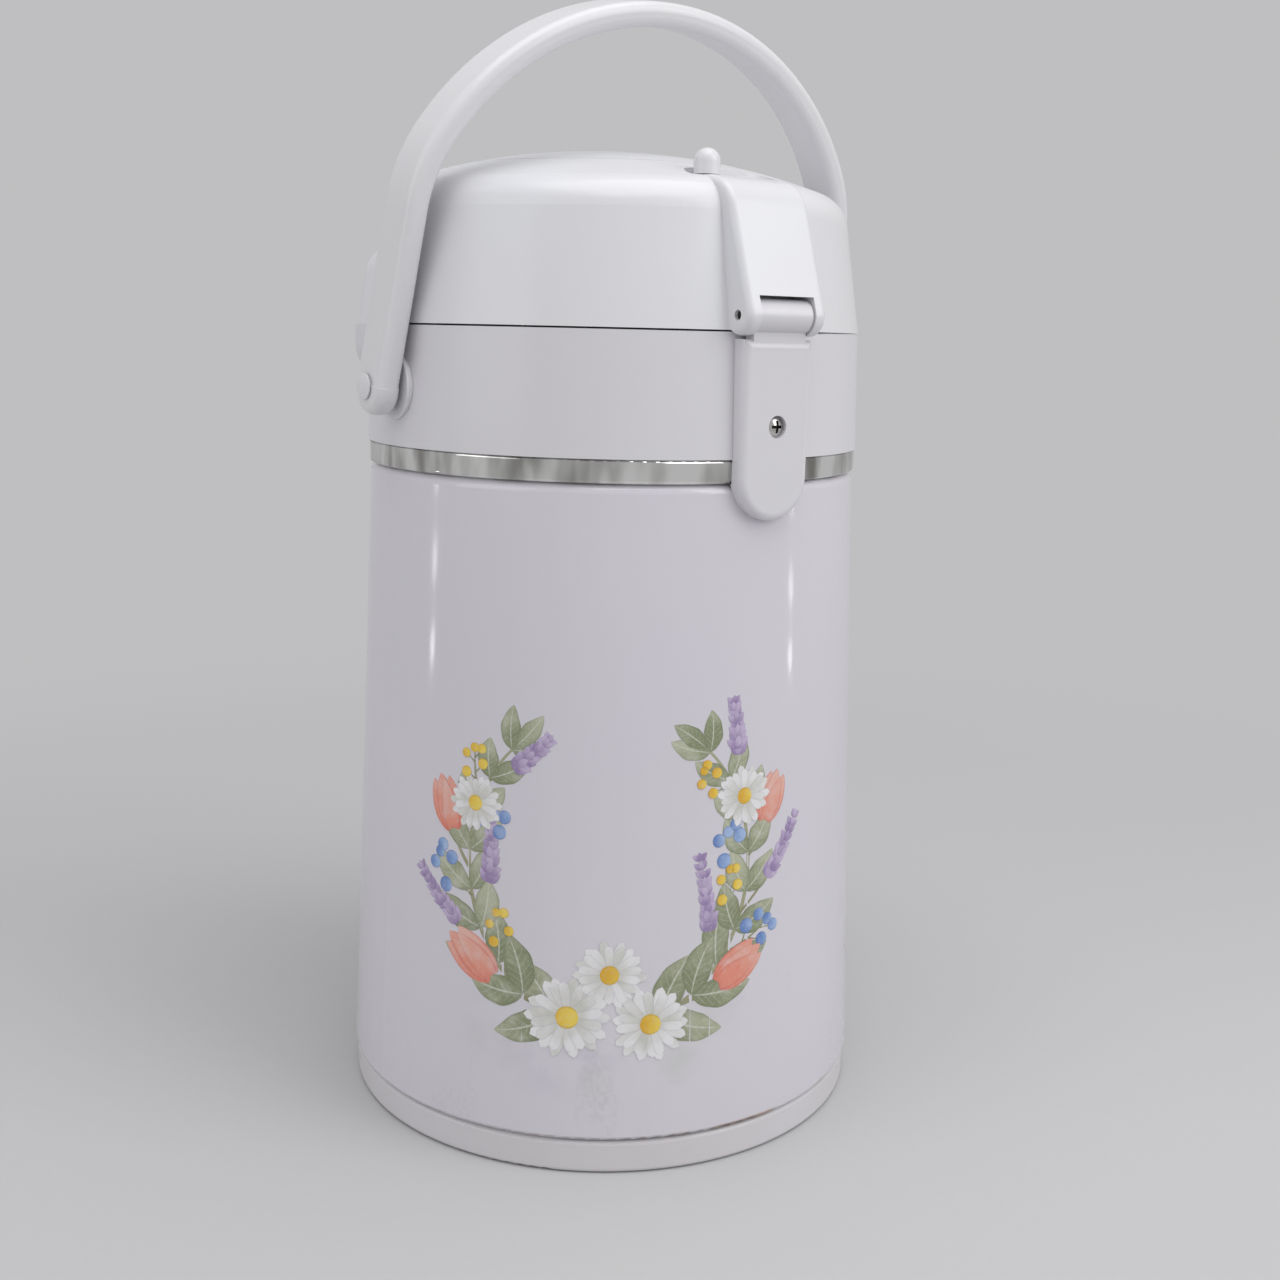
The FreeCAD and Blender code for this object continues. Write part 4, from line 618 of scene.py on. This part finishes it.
class Print:
    """The strokes of one colour, the lowest of them so many mm over the enamel."""

    def __init__(self, name, lift):
        self.name, self.lift = name, lift
        self.points, self.faces, self.marks = [], [], []

    def stroke(self, spine, half_width, rows, columns, level=0):
        first, across = len(self.points), columns + 1
        tone = dice.random()
        for lift in (self.lift + level * LEVEL_STEP, PRINT_ROOT):
            for row in range(rows + 1):
                u = row / rows
                x, y, side_x, side_y = spine(u)
                half = max(half_width(u), NARROWEST)
                for column in range(across):
                    shift = half * (2 * column / columns - 1)
                    self.points.append(on_case(x + side_x * shift, y + side_y * shift, lift))
                    self.marks.append((u, column / columns, tone))
        below = (rows + 1) * across
        top = [(first + r * across + c, first + r * across + c + 1, first + (r + 1) * across + c + 1,
                first + (r + 1) * across + c) for r in range(rows) for c in range(columns)]
        rim = [r * across for r in range(rows)] + [rows * across + c for c in range(columns)]
        rim += [(rows - r) * across + columns for r in range(rows)] + [columns - c for c in range(columns)]
        self.faces += [tuple(reversed(face)) for face in top]
        self.faces += [tuple(n + below for n in face) for face in top]
        for n, corner in enumerate(rim):
            here, there = first + corner, first + rim[(n + 1) % len(rim)]
            self.faces.append((here, here + below, there + below, there))

    def make(self, material):
        piece = new_piece(self.name, self.points, self.faces)
        mesh = piece.data
        mesh.set_sharp_from_angle(angle=RIM_ANGLE)
        along = mesh.uv_layers.new(name="stroke")
        for loop in mesh.loops:
            along.data[loop.index].uv = self.marks[loop.vertex_index][:2]
        tones = mesh.attributes.new("tone", "FLOAT", "POINT")
        tones.data.foreach_set("value", [mark[2] for mark in self.marks])
        mesh.materials.append(material)
        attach(piece, "pot")
        print(self.name, "faces:", len(mesh.polygons))


print("ready: strokes on the case")

# %% [markdown]
# A stroke follows a spine. A bent spine starts at a point, sets off at an angle and curls to one side,
# which does for petals, leaves and short stems. The width along it gives the outline: leaves taper at
# both ends, daisy petals have a round tip, tulip petals are fullest below the middle.

# %% Spines and outlines
SPINE_STEPS = 8


def bent(x, y, angle, length, curl=0.0):
    """A spine from (x, y) that turns by curl degrees along its length."""
    def spine(u):
        px, py = x, y
        for step in range(SPINE_STEPS):
            way = math.radians(angle + curl * u * (step + 0.5) / SPINE_STEPS)
            px += length * u / SPINE_STEPS * math.cos(way)
            py += length * u / SPINE_STEPS * math.sin(way)
        way = math.radians(angle + curl * u)
        return px, py, -math.sin(way), math.cos(way)
    return spine


def heading(spine, u):
    """The place on a spine and the way it runs there, in degrees."""
    x, y, side_x, side_y = spine(u)
    return x, y, math.degrees(math.atan2(-side_x, side_y))


def leaf_shape(width, wave=0.0, phase=0.0):
    return lambda u: width / 2 * math.sin(math.pi * u ** 0.85) ** 0.85 * (1 + wave * math.sin(17 * u + phase))


def round_shape(width):
    return lambda u: width / 2 * math.sqrt(max(1 - (2 * u - 1) ** 2, 0.0))


def daisy_shape(width):
    return lambda u: width / 2 * (0.35 + 0.65 * u ** 0.6) * math.sqrt(max(1 - u ** 7, 0.0))


def tulip_shape(width):
    return lambda u: width / 2 * math.sin(math.pi * (0.1 + 0.9 * u) ** 0.75) ** 0.75


def stem_shape(width):
    return lambda u: width / 2 * (1.05 - 0.6 * u)


print("ready: five outlines")

# %% [markdown]
# The flowers are put together from strokes in seven paints, each a little higher over the enamel than
# the one before. Small random turns keep two flowers from being alike, and one seeded dice gives the
# same garland in every run. Every flower but the daisy grows from a point on a branch, so its function
# draws a stalk first.

# %% Paints, leaves and dots
# name of the piece, and height of its lowest strokes over the enamel in mm
PAINTS = (("print_stems", 0.02), ("print_leaves", 0.035), ("print_lavender", 0.07), ("print_berries", 0.10),
          ("print_tulips", 0.115), ("print_daisies", 0.145), ("print_yellow", 0.175))
stems, leaves, spikes, berries, tulips, daisies, buds = (Print(*paint) for paint in PAINTS)


def wobble(size):
    return dice.uniform(-size, size)


def upward(angle, turn):
    """The curl, in degrees, that bends a stalk up rather than down."""
    return turn if math.cos(math.radians(angle)) > 0 else -turn


def add_leaf(x, y, angle, length, width, curl=14.0, level=0):
    leaves.stroke(bent(x, y, angle, length, curl), leaf_shape(width, 0.035, wobble(3)), 18, 8, level)


def add_dot(paint, x, y, radius):
    paint.stroke(bent(x - radius, y, 0, 2 * radius), round_shape(2 * radius), 14, 8)


print("paints:", len(PAINTS))

# %% [markdown]
# A daisy has two rings of petals, the upper one shorter and turned by half a petal, round a yellow eye.
# A tulip is seen from the side: two outer petals, one broad petal between them, and two narrow ones in
# front.

# %% Daisies and tulips
DAISY_PETALS = 14
# shares of the daisy's radius
PETAL_START, PETAL_LONG, PETAL_WIDE, DAISY_EYE = 0.16, 0.84, 0.32, 0.27


def add_daisy(x, y, radius):
    for ring, reach in ((0, 1.0), (1, 0.84)):
        for n in range(DAISY_PETALS):
            angle = 360 * (n + 0.5 * ring) / DAISY_PETALS + wobble(5)
            start, way = PETAL_START * radius, math.radians(angle)
            length = reach * radius * PETAL_LONG + wobble(0.4)
            petal = bent(x + start * math.cos(way), y + start * math.sin(way), angle, length, wobble(14))
            daisies.stroke(petal, daisy_shape(PETAL_WIDE * radius), 9, 4, 2 * ring + n % 2)
    add_dot(buds, x, y, DAISY_EYE * radius)


# lean in degrees, then length and width as shares of the flower's length
TULIP_PETALS = ((21, 0.95, 0.46), (-21, 0.95, 0.46), (0, 1.0, 0.50), (10, 0.87, 0.40), (-10, 0.87, 0.40))


def add_tulip(x, y, angle, length):
    stalk = bent(x, y, angle, 0.8 * length, upward(angle, 24))
    stems.stroke(stalk, stem_shape(1.2), 10, 2, 1)
    x, y, angle = heading(stalk, 0.95)
    for level, (turn, reach, width) in enumerate(TULIP_PETALS):
        petal = bent(x, y, angle + turn + wobble(2), reach * length, -0.9 * turn)
        tulips.stroke(petal, tulip_shape(width * length), 14, 8, level)


print("tulip petals:", len(TULIP_PETALS), "daisy petals:", 2 * DAISY_PETALS)

# %% [markdown]
# Lavender carries its florets in whorls of three that get smaller towards the tip. Berries and buds are
# the same sprig, a stalk with short twigs and a dot at the end of each, in two colours and sizes.

# %% Lavender and sprigs
WHORLS = 9
BERRY_RADIUS, BUD_RADIUS = 2.3, 1.7


def add_lavender(x, y, angle, length):
    stalk = bent(x, y, angle, length, upward(angle, 20))
    stems.stroke(stalk, stem_shape(0.8), 24, 2, 1)
    for n in range(WHORLS):
        px, py, way = heading(stalk, 0.4 + 0.6 * n / (WHORLS - 1))
        size = 4.8 - 2.0 * n / WHORLS
        for level, side in enumerate((40, -40, 0)):
            reach = size * (0.85 if side == 0 else 1)
            floret = bent(px, py, way + side + wobble(9), reach, wobble(20))
            spikes.stroke(floret, leaf_shape(0.56 * size), 7, 4, 3 * (n % 2) + level)


# share of the stalk, then lean of the twig in degrees
SPRIG_TWIGS = ((0.4, 50), (0.55, -48), (0.75, 44), (0.85, -40), (1.0, 0))


def add_sprig(paint, x, y, angle, length, radius):
    stalk = bent(x, y, angle, length, upward(angle, 22))
    stems.stroke(stalk, stem_shape(0.8), 14, 2, 1)
    for share, lean in SPRIG_TWIGS:
        px, py, way = heading(stalk, share)
        twig = bent(px, py, way + lean + wobble(8), 2.2 * radius if lean else 0.5 * radius, 12)
        stems.stroke(twig, stem_shape(0.5), 6, 2, 2)
        px, py, _ = heading(twig, 1.0)
        add_dot(paint, px, py, radius * (1.08 - 0.3 * share) + wobble(0.1))


def add_berries(x, y, angle, length):
    add_sprig(berries, x, y, angle, length, BERRY_RADIUS)


def add_buds(x, y, angle, length):
    add_sprig(buds, x, y, angle, length, BUD_RADIUS)


print("ready: lavender with", WHORLS, "whorls, sprigs with", len(SPRIG_TWIGS), "twigs")

# %% [markdown]
# The garland is an open oval. Two branches start at the foot of it and climb left and right, with
# leaves in pairs that get smaller towards the tips. Daisies sit where the branches meet and on the
# sides. Everything else grows from a branch at a share of its length, and leans inwards or, where the
# angle is negative, outwards.

# %% Lay out the garland
# middle and half sizes in mm
OVAL_X, OVAL_Y, OVAL_WIDE, OVAL_TALL = 0.0, 91.0, 42.0, 46.0
# share of the branch, lean in degrees, what grows there, and its length in mm
RIGHT_SIDE = ((0.17, -22, add_tulip, 17), (0.27, 38, add_lavender, 36), (0.36, -44, add_berries, 16),
              (0.45, 42, add_buds, 16), (0.48, -32, add_lavender, 32), (0.60, 44, add_berries, 13),
              (0.64, -44, add_tulip, 15), (0.82, 40, add_buds, 13), (0.84, -34, add_lavender, 25))
LEFT_SIDE = ((0.18, -20, add_tulip, 18), (0.29, 44, add_buds, 17), (0.36, -30, add_lavender, 32),
             (0.44, 38, add_lavender, 33), (0.52, -46, add_berries, 15), (0.60, -38, add_tulip, 16),
             (0.66, 46, add_berries, 12), (0.80, -40, add_buds, 14), (0.86, 34, add_lavender, 22))
# where a branch starts and ends on the oval, the side its inside lies on, and what grows on it
BRANCHES = ((278, 410, 1, RIGHT_SIDE), (262, 130, -1, LEFT_SIDE))
# middle and radius in mm
DAISIES = ((-11.5, 48, 12.5), (12.5, 46, 11.5), (0.5, 61, 10.5), (-40, 108, 8.5), (40, 111, 9))


LEAF_PAIRS = 9


def branch(start, end):
    def spine(u):
        turn = math.radians(start + (end - start) * u)
        x, y = OVAL_X + OVAL_WIDE * math.cos(turn), OVAL_Y + OVAL_TALL * math.sin(turn)
        way = math.copysign(1, end - start)
        along = Vector((-OVAL_WIDE * math.sin(turn) * way, OVAL_TALL * math.cos(turn) * way)).normalized()
        return x, y, -along.y, along.x
    return spine


def add_branch(start, end, inside, growth):
    spine = branch(start, end)
    stems.stroke(spine, stem_shape(1.6), 80, 2)
    for n in range(LEAF_PAIRS):
        u = 0.10 + 0.88 * n / (LEAF_PAIRS - 1)
        x, y, way = heading(spine, u)
        size = 20.0 - 8.0 * u
        for side in (1, -1):
            lean = side * (50 + wobble(9))
            add_leaf(x, y, way + lean, size + wobble(1.5), 0.50 * size, -side * 26, n % 2 * 2 + (side > 0))
    x, y, way = heading(spine, 1.0)
    add_leaf(x, y, way, 12, 5.5, 14, 4)
    for u, lean, draw, size in growth:
        x, y, way = heading(spine, u)
        draw(x, y, way + inside * lean, size)


for place in BRANCHES:
    add_branch(*place)
for place in DAISIES:
    add_daisy(*place)
print("strokes laid out, faces of leaves:", len(leaves.faces))

# %% [markdown]
# The paint of the print is thin, like watercolour: it is darker where it dried, at the rim of a stroke,
# and it lets the white through in clouds. Leaves have a pale midrib and side veins. All of it is worked
# out from the place along and across the stroke, and a tone of its own for each stroke.

# %% Watercolour on enamel
BARE_ENAMEL, VEIN_SAGE = (0.64, 0.62, 0.665), (0.60, 0.61, 0.53)


def watercolour(name, root, tip, rim, vein=0.0):
    made = Finish(name, IOR=1.55)
    place = made.wire.node("ShaderNodeUVMap", {"uv_map": "stroke"})
    along, across, _ = made.split(place)
    side = abs(across * 2 - 1)
    tone = made.wire.node("ShaderNodeAttribute", {"attribute_name": "tone"}, out="Fac")
    cloud, fine = made.noise(5, 4), made.noise(0.9, 3)
    wash = (along * 0.75 + (cloud - 0.5) * 1.3 + (tone - 0.5) * 0.6 + 0.12).between(0.0, 1.0)
    paint = wash.tint(root, tip)
    paint = ((side.between(0.72, 1.0) + (1 - along.between(0.0, 0.14)) * 0.5) * 0.45).tint(paint, rim)
    thinned = fine.between(0.5, 0.75) * 0.18 + cloud.between(0.5, 0.8) * 0.18
    paint = thinned.tint(paint, BARE_ENAMEL)
    if vein:
        rib = 1 - side.between(0.03, 0.09)
        slant = made.wire.math("FRACT", along * 8 - side * 1.7)
        veins = (1 - abs(slant - 0.5).between(0.02, 0.09)) * (1 - side.between(0.6, 0.95))
        paint = ((rib + veins * 0.45) * vein).tint(paint, VEIN_SAGE)
    rough, ripple = enamel_gloss(made)
    return made.feed(Base_Color=paint, Roughness=rough + 0.03, Normal=ripple)


stems.make(watercolour("paint_stem", (0.25, 0.25, 0.13), (0.36, 0.36, 0.22), (0.17, 0.17, 0.09)))
leaves.make(watercolour("paint_leaf", (0.22, 0.25, 0.14), (0.44, 0.46, 0.33), (0.16, 0.19, 0.10), 0.7))
spikes.make(watercolour("paint_lilac", (0.29, 0.21, 0.39), (0.52, 0.43, 0.61), (0.22, 0.14, 0.31)))
berries.make(watercolour("paint_blue", (0.12, 0.22, 0.50), (0.35, 0.48, 0.72), (0.07, 0.11, 0.32)))
tulips.make(watercolour("paint_coral", (0.73, 0.26, 0.18), (0.74, 0.44, 0.37), (0.56, 0.11, 0.09)))
daisies.make(watercolour("paint_white", (0.56, 0.56, 0.51), (0.78, 0.77, 0.78), (0.43, 0.41, 0.46)))
buds.make(watercolour("paint_yellow", (0.68, 0.39, 0.03), (0.80, 0.60, 0.09), (0.40, 0.23, 0.03)))

# %% [markdown]
# The floor is a wide pale disc. Far out it turns into the background colour, so that no horizon shows,
# and near the pot it stays a real surface that takes a shadow.

# %% Floor
BACKDROP = (0.52, 0.52, 0.53)
FLOOR_NEAR, FLOOR_FAR, FLOOR_RADIUS = 0.16, 0.7, 9.0
FLOOR_STEPS, FLOOR_DROP = 128, 0.2 * MM


def add_floor():
    turns = [2 * math.pi * n / FLOOR_STEPS for n in range(FLOOR_STEPS)]
    ring = [(FLOOR_RADIUS * math.cos(turn), FLOOR_RADIUS * math.sin(turn), -FLOOR_DROP) for turn in turns]
    floor = new_piece("floor", ring, [tuple(range(FLOOR_STEPS))])
    made = Finish("floor_paper", Roughness=0.9)
    across, along, _ = made.axes()
    far = made.wire.math("SQRT", across * across + along * along).between(FLOOR_NEAR, FLOOR_FAR)
    paper = made.noise(3, 4)
    made.feed(Base_Color=paper.tint((0.51, 0.51, 0.515), (0.525, 0.525, 0.53)))
    glow = made.wire.node("ShaderNodeEmission", None, {"Color": colour(BACKDROP), "Strength": 1.0})
    lit = Wire(made.tree, made.shader.outputs[0])
    both = made.wire.node("ShaderNodeMixShader", None, {0: far, 1: lit, 2: glow})
    made.tree.links.new(both.socket, made.tree.nodes["Material Output"].inputs["Surface"])
    floor.data.materials.append(made.material)


add_floor()
print("floor:", 2 * FLOOR_RADIUS, "m across")

# %% [markdown]
# The camera stands where the photograph was taken from, about level with the hinge and to one side of
# it, and looks down a little. It is near the pot, which gives a strong perspective, and it leans
# slightly to one side.

# %% Camera
CAMERA_SPOT = Vector((0.2754, 0.3992, 0.2393))
CAMERA_HEADING, CAMERA_DIP, CAMERA_LEAN = (math.radians(angle) for angle in (144.2, 11.33, 1.34))
LENS_MM, SENSOR_MM = 42.75, 36.0


def add_camera():
    lens = bpy.data.cameras.new("camera")
    lens.lens, lens.sensor_width = LENS_MM, SENSOR_MM
    camera = bpy.data.objects.new("camera", lens)
    aimed = Euler((math.pi / 2 - CAMERA_DIP, 0, CAMERA_HEADING)).to_matrix()
    turn = aimed @ Matrix.Rotation(CAMERA_LEAN, 3, "Z")
    camera.matrix_world = Matrix.Translation(CAMERA_SPOT) @ turn.to_4x4()
    bpy.context.scene.collection.objects.link(camera)
    bpy.context.scene.camera = camera


add_camera()
print("camera:", tuple(round(part, 4) for part in CAMERA_SPOT))

# %% [markdown]
# The light is a plain studio: most of it comes from overhead, with a broad soft lamp from the right and
# a weaker one from the left. Small oval lamps low down at the sides hardly light anything, but their
# reflections are the short bright glints on the glossy case. Their power is given for a square metre,
# so that all are equally bright. The sky gives even light from all around, in the pale colour of the
# background.

# %% Light
VIEW_AZIMUTH = math.atan2(CAMERA_SPOT.y, CAMERA_SPOT.x)
AIM = Vector((0, 0, 150 * MM))
# name, degrees to the right of the camera, height, distance and size in metres, and watts
LAMPS = (("overhead", 25, 1.35, 0.3, (1.1, 1.1), 8.0), ("key", 62, 0.75, 1.1, (0.8, 0.8), 5.2),
         ("fill", -56, 0.6, 1.2, (0.8, 0.9), 2.4))
GLINT_DISTANCE, GLINT_WIDE, GLINT_WATTS = 0.9, 0.04, 20.0
# degrees to the right of the camera, height over the floor and height of the oval in metres
GLINTS = ((-84, 0.165, 0.02), (-84, 0.095, 0.034), (-84, 0.022, 0.034),
          (88, 0.148, 0.018), (88, 0.075, 0.024), (88, 0.016, 0.024))


def add_lamp(name, turn, height, distance, size, watts, shape="RECTANGLE"):
    """An area of light, turned by so many degrees to the right of the camera, that faces the pot."""
    lamp = bpy.data.lights.new(name, "AREA")
    lamp.shape, lamp.energy = shape, watts
    lamp.size, lamp.size_y = size
    angle = VIEW_AZIMUTH + math.radians(turn)
    spot = Vector((distance * math.cos(angle), distance * math.sin(angle), height))
    holder = bpy.data.objects.new(name, lamp)
    holder.location = spot
    holder.rotation_euler = (AIM - spot).to_track_quat("-Z", "Y").to_euler()
    holder.visible_camera = False
    bpy.context.scene.collection.objects.link(holder)


def add_sky():
    world = bpy.data.worlds.new("studio")
    world.use_nodes = True
    world.node_tree.nodes["Background"].inputs["Color"].default_value = colour(BACKDROP)
    bpy.context.scene.world = world


for lamp in LAMPS:
    add_lamp(*lamp)
for n, (turn, height, tall) in enumerate(GLINTS):
    watts = GLINT_WATTS * GLINT_WIDE * tall
    add_lamp(f"glint_{n}", turn, height, GLINT_DISTANCE, (GLINT_WIDE, tall), watts, "ELLIPSE")
add_sky()
bpy.context.scene.view_settings.view_transform = "Standard"
print("lamps:", len(LAMPS) + len(GLINTS))
